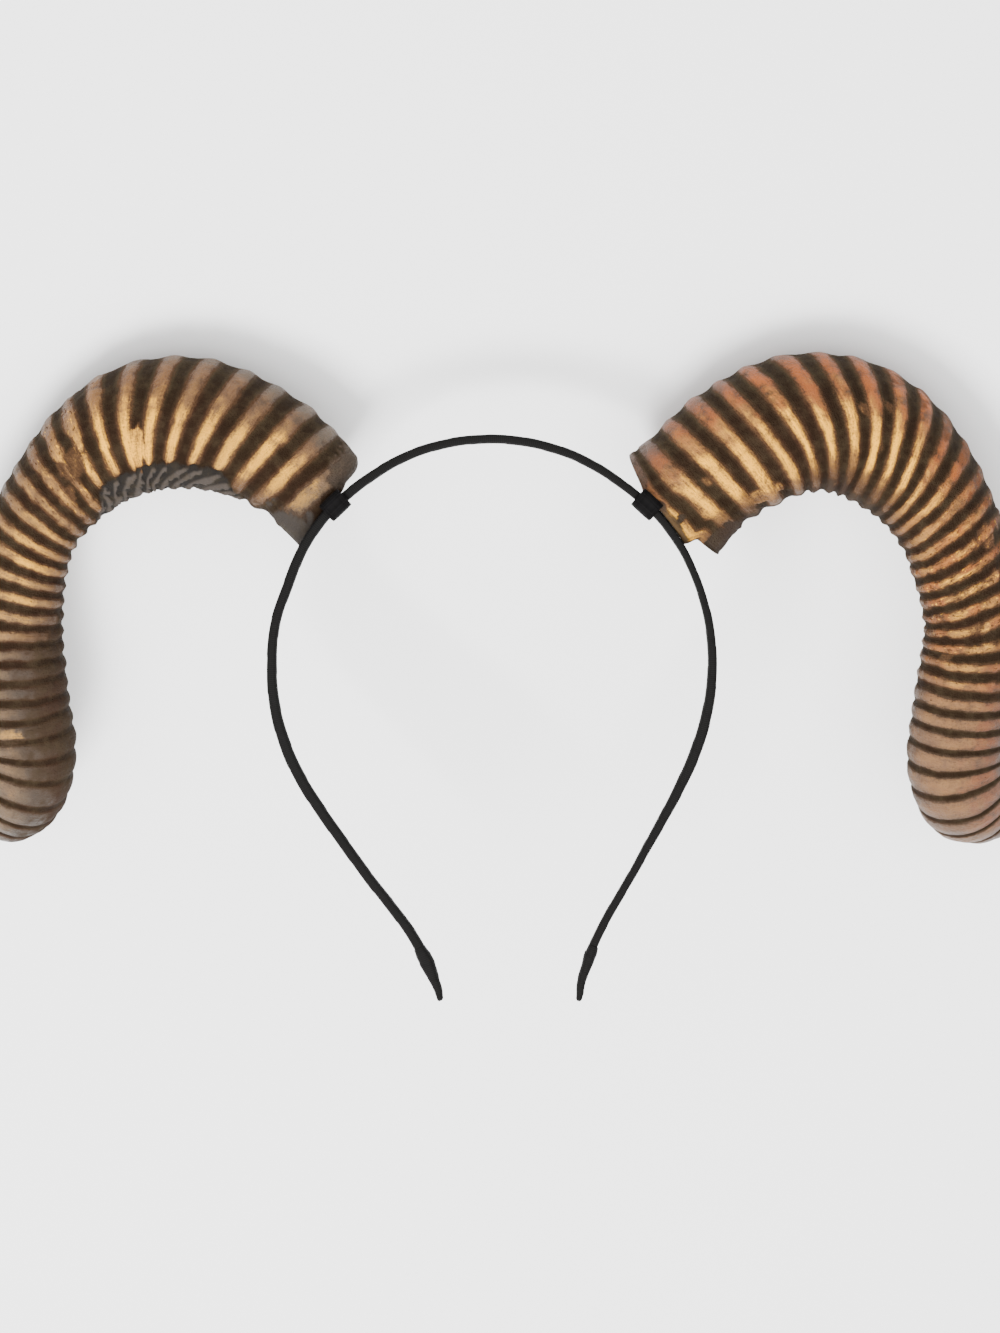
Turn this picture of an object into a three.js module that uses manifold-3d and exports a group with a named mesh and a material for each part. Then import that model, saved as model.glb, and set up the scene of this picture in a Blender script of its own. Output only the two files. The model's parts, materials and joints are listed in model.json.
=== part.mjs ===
// Ram horns headband: a slim ribbon-covered band with a wrapped tip at each end, and two curled,
// ribbed foam horns, each held to the band by a short fabric loop let into the horn's flat base.
// Millimetres. Everything is shaped in the band's own plane, with +X across to the viewer's right,
// +Y up over the crown and +Z towards the viewer. The whole is then laid on its back, as it rests.
import * as THREE from "three";
import { mergeVertices } from "three/addons/utils/BufferGeometryUtils.js";
import Module from "manifold-3d";

const wasm = await Module();
wasm.setup();

// Band
const bandHalfSpan = 62; // from the crown's axis to the middle line at its widest
const bandDrop = 157.4; // from the crown to the tips, along the middle line's height
const bandThickness = 3.2;
const bandWidth = 7;
const bandCorner = 1.1; // bevel along the band's four edges
const bandSteps = 72;

// Tip wraps
const wrapLength = 16;
const wrapGrip = 9; // how far the band reaches into a wrap
const wrapWall = 0.55;

// Loops that carry the horns
const loopFromCrown = 48.6; // along the band
const loopLength = 7;
const loopWall = 1.1;
const loopCorner = 0.8;

// Horns
const hornReach = 85.4; // outward, from the base to the hanging part
const hornHeight = 105; // of the middle line, from the arch to the underside
const hornDepth = 53; // backward, from the base to the back of the curl
const hornThickness = 40; // across the arch
const hornRoundness = 0.87; // front to back, as a share of the width
const hornSides = 18;
const baseSetBack = 12.6; // the base's centre, behind the band
const rightBaseSlide = 5.9; // the base's centre, past the loop towards the band's end
const leftBaseSlide = 0.7;
const tipRounding = 2.6;

// Ribs
const ribPitchBase = 8.2;
const ribPitchTip = 5.44;
const ribChangeStart = 24.5; // along the middle line, where the ribs start to close up
const ribChangeEnd = 106.6;
const rightRibStart = -3.5; // where the first rib starts, before the base where it is cut
const leftRibStart = 1;
const ribRelief = 0.2; // height of a rib, as a share of its pitch
const ribRise = 0.3; // share of the pitch where the crest starts
const ribFall = 0.76; // share of the pitch where the crest ends

// Fits
const touchGap = 0.3; // between pieces that touch
const loopPlay = 0.3; // between the band and a loop or wrap around it

// The band's middle line: down as a share of bandDrop, left and right as shares of bandHalfSpan.
const bandRows = [
  { down: 0.029, left: 0.37, right: 0.37 },
  { down: 0.117, left: 0.7, right: 0.705 },
  { down: 0.19, left: 0.842, right: 0.855 },
  { down: 0.26, left: 0.917, right: 0.937 },
  { down: 0.33, left: 0.975, right: 0.985 },
  { down: 0.402, left: 0.99, right: 1 },
  { down: 0.473, left: 0.977, right: 0.983 },
  { down: 0.545, left: 0.928, right: 0.934 },
  { down: 0.616, left: 0.842, right: 0.856 },
  { down: 0.76, left: 0.59, right: 0.658 },
  { down: 0.9, left: 0.329, right: 0.463 },
  { down: 1, left: 0.232, right: 0.396 },
];

// A horn's sections from base to tip: out, up and back as shares of hornReach, hornHeight and
// hornDepth, wide as a share of hornThickness, and lean as the degrees that the ribs' outer side
// lags behind their inner side.
const rightHornRows = [
  { out: 0, up: 0, back: 0, wide: 0.915, lean: 0 },
  { out: 0.098, up: 0.086, back: -0.024, wide: 0.91, lean: 4 },
  { out: 0.225, up: 0.163, back: -0.032, wide: 0.96, lean: 9 },
  { out: 0.433, up: 0.231, back: -0.016, wide: 1, lean: 16 },
  { out: 0.635, up: 0.214, back: 0.016, wide: 0.98, lean: 21 },
  { out: 0.812, up: 0.108, back: 0.047, wide: 0.86, lean: 20 },
  { out: 0.915, up: -0.029, back: 0.084, wide: 0.745, lean: 16 },
  { out: 0.993, up: -0.251, back: 0.163, wide: 0.71, lean: 11 },
  { out: 1, up: -0.359, back: 0.21, wide: 0.72, lean: 6 },
  { out: 0.971, up: -0.521, back: 0.295, wide: 0.72, lean: 1 },
  { out: 0.956, up: -0.671, back: 0.4, wide: 0.72, lean: 0 },
  { out: 0.974, up: -0.739, back: 0.484, wide: 0.72, lean: 0 },
  { out: 1.005, up: -0.779, back: 0.605, wide: 0.71, lean: 0 },
  { out: 1.046, up: -0.79, back: 0.716, wide: 0.69, lean: 0 },
  { out: 1.115, up: -0.774, back: 0.85, wide: 0.63, lean: 0 },
  { out: 1.2, up: -0.721, back: 0.945, wide: 0.535, lean: 0 },
  { out: 1.272, up: -0.646, back: 0.975, wide: 0.41, lean: 0 },
  { out: 1.321, up: -0.569, back: 0.945, wide: 0.28, lean: 0 },
  { out: 1.348, up: -0.507, back: 0.895, wide: 0.17, lean: 0 },
];
const leftHornRows = [
  { out: 0, up: 0, back: 0, wide: 0.73, lean: 0 },
  { out: 0.077, up: 0.065, back: -0.016, wide: 0.76, lean: 8 },
  { out: 0.221, up: 0.142, back: -0.026, wide: 0.85, lean: 12 },
  { out: 0.442, up: 0.201, back: -0.011, wide: 0.957, lean: 13 },
  { out: 0.624, up: 0.191, back: 0.016, wide: 0.94, lean: 13 },
  { out: 0.76, up: 0.132, back: 0.042, wide: 0.845, lean: 12 },
  { out: 0.863, up: 0.052, back: 0.068, wide: 0.74, lean: 11 },
  { out: 0.954, up: -0.053, back: 0.1, wide: 0.665, lean: 10 },
  { out: 1.006, up: -0.157, back: 0.137, wide: 0.675, lean: 9 },
  { out: 1.036, up: -0.318, back: 0.2, wide: 0.7, lean: 5 },
  { out: 1.02, up: -0.521, back: 0.295, wide: 0.705, lean: 1 },
  { out: 1.001, up: -0.67, back: 0.4, wide: 0.71, lean: 0 },
  { out: 1.02, up: -0.752, back: 0.489, wide: 0.705, lean: 0 },
  { out: 1.055, up: -0.796, back: 0.61, wide: 0.7, lean: 0 },
  { out: 1.096, up: -0.812, back: 0.726, wide: 0.68, lean: 0 },
  { out: 1.164, up: -0.797, back: 0.86, wide: 0.62, lean: 0 },
  { out: 1.249, up: -0.744, back: 0.957, wide: 0.52, lean: 0 },
  { out: 1.321, up: -0.669, back: 0.985, wide: 0.395, lean: 0 },
  { out: 1.37, up: -0.592, back: 0.955, wide: 0.27, lean: 0 },
  { out: 1.397, up: -0.53, back: 0.905, wide: 0.17, lean: 0 },
];

// A tip wrap's outer form: at as a share of wrapLength, thick and broad as shares of the mouth's.
const wrapRows = [
  { at: 0, thick: 1, broad: 1 },
  { at: 0.25, thick: 1.08, broad: 1.03 },
  { at: 0.55, thick: 1.02, broad: 1 },
  { at: 0.78, thick: 0.74, broad: 0.92 },
  { at: 0.94, thick: 0.55, broad: 0.78 },
  { at: 1, thick: 0.36, broad: 0.6 },
];

const viewerward = new THREE.Vector3(0, 0, 1);

// Materials
const ribbon = new THREE.MeshStandardMaterial({ color: 0x1b1b1d, roughness: 0.75, metalness: 0 });
const webbing = new THREE.MeshStandardMaterial({ color: 0x141416, roughness: 0.9, metalness: 0 });
const copperPaint = new THREE.MeshStandardMaterial({ color: 0xa8713f, roughness: 0.5, metalness: 0.4 });
const goldPaint = new THREE.MeshStandardMaterial({ color: 0xa88548, roughness: 0.5, metalness: 0.4 });

// A closed body through rings of equally many points, with a fan of triangles over each end.
function loftedGeometry(rings) {
  const sides = rings[0].length;
  const positions = rings.flat().flatMap((point) => point.toArray());
  const indices = [];
  for (let ring = 0; ring + 1 < rings.length; ring++) {
    for (let side = 0; side < sides; side++) {
      const next = (side + 1) % sides;
      const a = ring * sides + side;
      const b = ring * sides + next;
      indices.push(a, b, b + sides, a, b + sides, a + sides);
    }
  }
  [rings[0], rings[rings.length - 1]].forEach((ring, end) => {
    const centre = new THREE.Vector3();
    ring.forEach((point) => centre.add(point));
    centre.divideScalar(sides);
    const hub = positions.length / 3;
    const first = end === 0 ? 0 : (rings.length - 1) * sides;
    positions.push(...centre.toArray());
    for (let side = 0; side < sides; side++) {
      const next = (side + 1) % sides;
      const pair = end === 0 ? [first + next, first + side] : [first + side, first + next];
      indices.push(hub, ...pair);
    }
  });
  const geometry = new THREE.BufferGeometry();
  geometry.setAttribute("position", new THREE.Float32BufferAttribute(positions, 3));
  geometry.setIndex(indices);
  return geometry;
}

// A rectangle with bevelled corners, as eight points round its middle.
function bevelledRectangle(width, height, bevel) {
  const x = width / 2;
  const y = height / 2;
  return [
    [x, -y + bevel],
    [x, y - bevel],
    [x - bevel, y],
    [-x + bevel, y],
    [-x, y - bevel],
    [-x, -y + bevel],
    [-x + bevel, -y],
    [x - bevel, -y],
  ].map(([px, py]) => new THREE.Vector2(px, py));
}

// The band's middle line, from the left tip over the crown to the right tip.
const crown = new THREE.Vector3(0, 0, 0);
const bandArm = (side) =>
  bandRows.map((row) => {
    const across = side < 0 ? -row.left : row.right;
    return new THREE.Vector3(across * bandHalfSpan, -row.down * bandDrop, 0);
  });
const bandPath = new THREE.CatmullRomCurve3(
  [...bandArm(-1).reverse(), crown, ...bandArm(1)],
  false,
  "centripetal",
);
bandPath.arcLengthDivisions = 600;
const bandLength = bandPath.getLength();
const bandLengths = bandPath.getLengths();
const crownAlong = bandLengths[(bandLengths.length - 1) / 2];

// The band's place, outward normal and direction towards the tip, at a length from the crown.
function bandStation(side, fromCrown) {
  const share = (crownAlong + side * fromCrown) / bandLength;
  const place = bandPath.getPointAt(share);
  const tipward = bandPath.getTangentAt(share).multiplyScalar(side);
  const outward = new THREE.Vector3().crossVectors(viewerward, tipward).multiplyScalar(side);
  return { place, tipward, outward };
}

// A beam along the band between two lengths from the left tip.
function bandGeometry() {
  const bareEnd = wrapLength - wrapGrip;
  const steps = bandSteps;
  const points = [];
  for (let step = 0; step <= steps; step++) {
    const along = bareEnd + ((bandLength - 2 * bareEnd) * step) / steps;
    points.push(bandPath.getPointAt(along / bandLength));
  }
  const path = new THREE.CatmullRomCurve3(points);
  const section = new THREE.Shape(bevelledRectangle(bandWidth, bandThickness, bandCorner));
  return new THREE.ExtrudeGeometry(section, { steps, extrudePath: path });
}

// A wrap over a tip of the band: rings out of the band's pocket, over the mouth and to the tip.
function wrapGeometry(side) {
  const armLength = side < 0 ? crownAlong : bandLength - crownAlong;
  const mouthAt = armLength - wrapLength;
  const pocketThickness = bandThickness + 2 * loopPlay;
  const pocketWidth = bandWidth + 2 * loopPlay;
  const ring = (along, thickness, width, bevel) => {
    const { place, outward } = bandStation(side, Math.min(along, armLength));
    return bevelledRectangle(width, thickness, bevel).map((corner) =>
      place
        .clone()
        .addScaledVector(viewerward, -side * corner.x)
        .addScaledVector(outward, corner.y),
    );
  };
  const pocketEnd = mouthAt + wrapGrip + touchGap;
  const rings = [
    ring(pocketEnd, pocketThickness, pocketWidth, bandCorner),
    ring(mouthAt + wrapGrip / 2, pocketThickness, pocketWidth, bandCorner),
    ring(mouthAt, pocketThickness, pocketWidth, bandCorner),
  ];
  for (const row of wrapRows) {
    const thickness = (pocketThickness + 2 * wrapWall) * row.thick;
    const width = (pocketWidth + 2 * wrapWall) * row.broad;
    rings.push(ring(mouthAt + row.at * wrapLength, thickness, width, thickness * 0.3));
  }
  return loftedGeometry(rings);
}

// A loop round the band, drawn with the band's direction along its own Z.
function loopGeometry() {
  const innerThickness = bandThickness + 2 * loopPlay;
  const innerWidth = bandWidth + 2 * loopPlay;
  const outline = new THREE.Shape(
    bevelledRectangle(innerThickness + 2 * loopWall, innerWidth + 2 * loopWall, loopCorner),
  );
  outline.holes.push(new THREE.Path(bevelledRectangle(innerThickness, innerWidth, bandCorner / 2)));
  const geometry = new THREE.ExtrudeGeometry(outline, { depth: loopLength, bevelEnabled: false });
  return geometry.translate(0, 0, -loopLength / 2);
}

// Where a loop stands: own X outward from the band, own Z along the band.
function loopPose(side) {
  const { place, tipward, outward } = bandStation(side, loopFromCrown);
  const upright = new THREE.Vector3().crossVectors(tipward, outward);
  const turn = new THREE.Matrix4().makeBasis(outward, upright, tipward);
  return { place, turn };
}

// A value from a horn's table at a share of its rows, on a smooth curve through the rows.
function sectionValue(rows, column, share) {
  const samples = rows.map((row, index) => new THREE.Vector2(index, row[column]));
  return new THREE.SplineCurve(samples).getPoint(share).y;
}

// How far apart the ribs are at a length along the horn.
function ribPitch(along) {
  const share = THREE.MathUtils.smoothstep(along, ribChangeStart, ribChangeEnd);
  return THREE.MathUtils.lerp(ribPitchBase, ribPitchTip, share);
}

// A horn's middle line, and on it the place, direction and section at any length from the base.
// The section's first axis points out of the curl and its second axis points to the viewer.
function hornSpine(rows) {
  const points = rows.map(
    (row) => new THREE.Vector3(row.out * hornReach, row.up * hornHeight, -row.back * hornDepth),
  );
  const path = new THREE.CatmullRomCurve3(points, false, "centripetal");
  path.arcLengthDivisions = 400;
  const length = path.getLength();
  const stepCount = 400;
  const axes = [];
  const outside = new THREE.Vector3().crossVectors(viewerward, path.getTangentAt(0)).normalize();
  for (let step = 0; step <= stepCount; step++) {
    const tangent = path.getTangentAt(step / stepCount);
    outside.addScaledVector(tangent, -outside.dot(tangent)).normalize();
    axes.push(outside.clone());
  }
  const station = (along) => {
    const share = THREE.MathUtils.clamp(along / length, 0, 1);
    const tangent = path.getTangentAt(share);
    const outer = axes[Math.round(share * stepCount)].clone();
    outer.addScaledVector(tangent, -outer.dot(tangent)).normalize();
    return {
      place: path.getPointAt(share),
      tangent,
      outer,
      front: new THREE.Vector3().crossVectors(tangent, outer),
      rowShare: path.getUtoTmapping(share),
    };
  };
  return { length, station };
}

// One ring of a horn: each point slides along the middle line by the ribs' lean.
function hornRing(rows, spine, along, inset) {
  const middle = spine.station(along);
  const radius = (sectionValue(rows, "wide", middle.rowShare) * hornThickness) / 2;
  const lean = THREE.MathUtils.degToRad(sectionValue(rows, "lean", middle.rowShare));
  const ring = [];
  for (let side = 0; side < hornSides; side++) {
    const angle = (2 * Math.PI * side) / hornSides;
    const slide = -Math.tan(lean) * radius * Math.cos(angle);
    const { place, outer, front } = spine.station(Math.max(0, along + slide));
    const point = place.clone();
    point.addScaledVector(outer, (radius - inset) * Math.cos(angle));
    point.addScaledVector(front, (radius * hornRoundness - inset) * Math.sin(angle));
    ring.push(point);
  }
  return ring;
}

// A whole horn in its own frame, with its base's centre at the origin.
function hornGeometry(rows, ribStart) {
  const spine = hornSpine(rows);
  const rings = [hornRing(rows, spine, 0, 0)];
  let along = ribStart;
  while (along + ribPitch(along) < spine.length - tipRounding) {
    const pitch = ribPitch(along);
    const relief = ribRelief * Math.min(pitch, ribPitchBase);
    const marks = [
      { at: along + pitch * ribRise, inset: 0 },
      { at: along + pitch * ribFall, inset: 0 },
      { at: along + pitch, inset: relief },
    ];
    for (const { at, inset } of marks.filter((mark) => mark.at > 0)) {
      rings.push(hornRing(rows, spine, at, inset));
    }
    along += pitch;
  }
  rings.push(hornRing(rows, spine, spine.length - tipRounding, 0));
  rings.push(hornRing(rows, spine, spine.length, tipRounding / 2));
  return loftedGeometry(rings);
}

// The mirror image of a geometry across its own X, with its faces still pointing out.
function mirrored(geometry) {
  const flipped = geometry.clone().scale(-1, 1, 1);
  const order = Array.from(flipped.index.array);
  for (let corner = 0; corner < order.length; corner += 3) {
    [order[corner + 1], order[corner + 2]] = [order[corner + 2], order[corner + 1]];
  }
  flipped.setIndex(order);
  return flipped;
}

function toManifold(geometry) {
  const bare = geometry.clone();
  bare.deleteAttribute("normal");
  bare.deleteAttribute("uv");
  const merged = mergeVertices(bare, 1e-4);
  return new wasm.Manifold(
    new wasm.Mesh({
      numProp: 3,
      vertProperties: new Float32Array(merged.attributes.position.array),
      triVerts: new Uint32Array(merged.index.array),
    }),
  );
}

function fromManifold(solid) {
  const mesh = solid.getMesh();
  const geometry = new THREE.BufferGeometry();
  geometry.setAttribute("position", new THREE.BufferAttribute(mesh.vertProperties, mesh.numProp));
  geometry.setIndex(new THREE.BufferAttribute(mesh.triVerts, 1));
  return geometry;
}

// Where a horn sits: its base lies square to the band at the loop, just clear of the band's front
// outer edge, with its centre set back behind the band and slid towards the tip.
function hornPose(rows, side) {
  const { place, tipward, outward } = bandStation(side, loopFromCrown);
  const start = hornSpine(rows).station(0).tangent;
  const flat = Math.hypot(start.x, start.y);
  const axis = outward.clone().multiplyScalar(flat).addScaledVector(viewerward, start.z);
  const across = outward.clone().multiplyScalar(-start.z).addScaledVector(viewerward, flat);
  const seat = (bandThickness / 2) * flat + (bandWidth / 2) * start.z + touchGap;
  const position = place
    .clone()
    .addScaledVector(tipward, side < 0 ? leftBaseSlide : rightBaseSlide)
    .addScaledVector(axis, seat)
    .addScaledVector(across, -baseSetBack);
  const turn = Math.atan2(outward.y, outward.x) - Math.atan2(start.y, start.x * side);
  return { position, turn };
}

// A horn with the pocket for its loop cut into the base, in the horn's own frame.
function hornWithPocket(rows, ribStart, side) {
  const whole = hornGeometry(rows, ribStart);
  const pose = hornPose(rows, side);
  const loop = loopPose(side);
  const block = new THREE.BoxGeometry(
    bandThickness + 2 * (loopPlay + loopWall + touchGap),
    bandWidth + 2 * (loopPlay + loopWall + touchGap),
    loopLength + 2 * touchGap,
  );
  block.applyMatrix4(loop.turn).translate(loop.place.x, loop.place.y, loop.place.z);
  block.translate(-pose.position.x, -pose.position.y, -pose.position.z).rotateZ(-pose.turn);
  const horn = toManifold(side < 0 ? mirrored(whole) : whole);
  return fromManifold(horn.subtract(toManifold(block)));
}

function namedMesh(name, geometry, material) {
  const mesh = new THREE.Mesh(geometry, material);
  mesh.name = name;
  return mesh;
}

// Everything in the band's plane
const headpiece = new THREE.Group();
headpiece.add(namedMesh("headband", bandGeometry(), ribbon));
const sides = [
  { word: "left", side: -1, rows: leftHornRows, ribStart: leftRibStart, paint: goldPaint },
  { word: "right", side: 1, rows: rightHornRows, ribStart: rightRibStart, paint: copperPaint },
];
for (const { word, side, rows, ribStart, paint } of sides) {
  headpiece.add(namedMesh(`end_wrap_${word}`, wrapGeometry(side), ribbon));

  const loop = namedMesh(`strap_loop_${word}`, loopGeometry(), webbing);
  const stand = loopPose(side);
  loop.position.copy(stand.place);
  loop.quaternion.setFromRotationMatrix(stand.turn);
  headpiece.add(loop);

  const horn = namedMesh(`horn_${word}`, hornWithPocket(rows, ribStart, side), paint);
  const pose = hornPose(rows, side);
  horn.position.copy(pose.position);
  horn.rotation.z = pose.turn;
  headpiece.add(horn);
}

// The angle at which the headpiece lies on its back: of all the lines that its side view can
// stand on with the horns' middle above them, the one that holds that middle lowest.
function lyingTilt(group) {
  group.updateMatrixWorld(true);
  const outline = [];
  const middle = new THREE.Vector2();
  const corner = new THREE.Vector3();
  for (const mesh of group.children) {
    const places = mesh.geometry.attributes.position;
    const share = mesh.name.startsWith("horn_") ? 0.5 / places.count : 0;
    for (let index = 0; index < places.count; index++) {
      corner.fromBufferAttribute(places, index).applyMatrix4(mesh.matrixWorld);
      const seen = new THREE.Vector2(corner.y, corner.z);
      outline.push(seen);
      middle.addScaledVector(seen, share);
    }
  }
  outline.sort((a, b) => a.x - b.x || a.y - b.y);
  const hull = [];
  const turnsUp = (a, b, c) => (b.x - a.x) * (c.y - a.y) - (b.y - a.y) * (c.x - a.x) > 0;
  for (const point of outline) {
    while (hull.length > 1 && !turnsUp(hull[hull.length - 2], hull[hull.length - 1], point)) {
      hull.pop();
    }
    hull.push(point);
  }
  let lowest = { height: Infinity, angle: 0 };
  for (let index = 0; index + 1 < hull.length; index++) {
    const edge = hull[index + 1].clone().sub(hull[index]);
    const reach = middle.clone().sub(hull[index]);
    const along = reach.dot(edge) / edge.lengthSq();
    const height = edge.cross(reach) / edge.length();
    if (along >= 0 && along <= 1 && height < lowest.height) {
      lowest = { height, angle: edge.angle() };
    }
  }
  return lowest.angle;
}

// Laid on its back, with the middle of its footprint at the origin
const object = new THREE.Group();
headpiece.rotation.x = -lyingTilt(headpiece);
object.add(headpiece);
object.updateMatrixWorld(true);
const box = new THREE.Box3().setFromObject(object, true);
headpiece.position.set(-(box.min.x + box.max.x) / 2, -(box.min.y + box.max.y) / 2, -box.min.z);

export default object;
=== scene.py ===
"""A ram horns headband lying on its back: a ribbon-covered band with wrapped tips, two fabric loops
and two curled, ribbed foam horns, dry-brushed with copper and gold over a near-black skin.

The pieces are worked out in the band's own plane, with X across to the viewer's right, Y up over the
crown and Z towards the viewer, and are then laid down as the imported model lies. Metres throughout.
"""

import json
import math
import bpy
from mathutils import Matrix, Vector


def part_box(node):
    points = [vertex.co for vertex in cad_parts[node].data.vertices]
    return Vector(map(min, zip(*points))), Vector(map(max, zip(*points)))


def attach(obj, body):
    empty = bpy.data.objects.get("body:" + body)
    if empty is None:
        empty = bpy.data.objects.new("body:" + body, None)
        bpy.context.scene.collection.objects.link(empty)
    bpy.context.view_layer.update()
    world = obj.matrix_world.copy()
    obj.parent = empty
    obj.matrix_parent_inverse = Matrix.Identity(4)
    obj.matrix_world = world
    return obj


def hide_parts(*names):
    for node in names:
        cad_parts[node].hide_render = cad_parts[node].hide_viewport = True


bl_info = {
    "name": "Ram Horns Headband",
    "version": (1, 0, 0),
    "blender": (4, 5, 0),
    "location": "3D View > Sidebar > Headpiece",
    "description": "A ribbon-covered headband with curled, ribbed and dry-brushed ram horns",
    "category": "Add Mesh",
}

import bpy
import numpy as np
from mathutils import Matrix, Vector

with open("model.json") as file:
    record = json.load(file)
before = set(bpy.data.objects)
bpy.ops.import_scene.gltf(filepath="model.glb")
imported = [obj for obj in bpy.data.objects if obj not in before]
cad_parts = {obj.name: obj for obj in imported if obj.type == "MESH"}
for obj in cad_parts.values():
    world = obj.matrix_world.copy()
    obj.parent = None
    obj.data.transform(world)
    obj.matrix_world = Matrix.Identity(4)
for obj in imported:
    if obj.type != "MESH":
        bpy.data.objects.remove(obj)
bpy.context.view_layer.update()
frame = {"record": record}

SIDES = {"left": -1, "right": 1}
VIEWERWARD = np.array([0.0, 0.0, 1.0])
FULL_TURN = 2 * math.pi
CASTING_SEEDS = {"left": 11, "right": 47}
PAINT_SEEDS = {"left": 5, "right": 23}

# The band's middle line: down as a share of its drop, left and right as shares of its half span, and
# how thick each arm looks under its ribbon, as a share of the band's thickness.
BAND_COLUMNS = ("down", "left", "right", "left_thick", "right_thick")
BAND_ROWS = (
    (0.029, 0.37, 0.37, 0.79, 0.79),
    (0.117, 0.7, 0.705, 0.84, 0.74),
    (0.19, 0.842, 0.855, 0.86, 0.7),
    (0.26, 0.917, 0.937, 0.88, 0.68),
    (0.33, 0.975, 0.985, 0.86, 0.74),
    (0.402, 0.99, 1, 0.87, 0.82),
    (0.473, 0.977, 0.983, 0.93, 0.91),
    (0.545, 0.928, 0.934, 1, 0.98),
    (0.616, 0.842, 0.856, 1, 0.93),
    (0.76, 0.59, 0.658, 0.91, 0.74),
    (0.9, 0.329, 0.463, 0.93, 0.76),
    (1, 0.232, 0.396, 0.93, 0.76),
)
CROWN_THICK = 0.78

# A horn's sections from base to tip: out, up and back as shares of the horn's reach, height and
# depth, wide as a share of its thickness, and lean as the degrees that the ribs' outer side lags.
HORN_COLUMNS = ("out", "up", "back", "wide", "lean")
HORN_ROWS = {
    "right": (
        (0, 0, 0, 0.915, 0),
        (0.098, 0.086, -0.024, 0.91, 4),
        (0.225, 0.163, -0.032, 0.96, 9),
        (0.433, 0.231, -0.016, 1, 16),
        (0.635, 0.214, 0.016, 0.98, 21),
        (0.812, 0.108, 0.047, 0.86, 20),
        (0.915, -0.029, 0.084, 0.745, 16),
        (0.993, -0.251, 0.163, 0.71, 11),
        (1, -0.359, 0.21, 0.72, 6),
        (0.971, -0.521, 0.295, 0.72, 1),
        (0.956, -0.671, 0.4, 0.72, 0),
        (0.974, -0.739, 0.484, 0.72, 0),
        (1.005, -0.779, 0.605, 0.71, 0),
        (1.046, -0.79, 0.716, 0.69, 0),
        (1.115, -0.774, 0.85, 0.63, 0),
        (1.2, -0.721, 0.945, 0.535, 0),
        (1.272, -0.646, 0.975, 0.41, 0),
        (1.321, -0.569, 0.945, 0.28, 0),
        (1.348, -0.507, 0.895, 0.17, 0),
    ),
    "left": (
        (0, 0, 0, 0.73, 0),
        (0.077, 0.065, -0.016, 0.76, 8),
        (0.221, 0.142, -0.026, 0.85, 12),
        (0.442, 0.201, -0.011, 0.957, 13),
        (0.624, 0.191, 0.016, 0.94, 13),
        (0.76, 0.132, 0.042, 0.845, 12),
        (0.863, 0.052, 0.068, 0.74, 11),
        (0.954, -0.053, 0.1, 0.665, 10),
        (1.006, -0.157, 0.137, 0.675, 9),
        (1.036, -0.318, 0.2, 0.7, 5),
        (1.02, -0.521, 0.295, 0.705, 1),
        (1.001, -0.67, 0.4, 0.71, 0),
        (1.02, -0.752, 0.489, 0.705, 0),
        (1.055, -0.796, 0.61, 0.7, 0),
        (1.096, -0.812, 0.726, 0.68, 0),
        (1.164, -0.797, 0.86, 0.62, 0),
        (1.249, -0.744, 0.957, 0.52, 0),
        (1.321, -0.669, 0.985, 0.395, 0),
        (1.37, -0.592, 0.955, 0.27, 0),
        (1.397, -0.53, 0.905, 0.17, 0),
    ),
}

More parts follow.
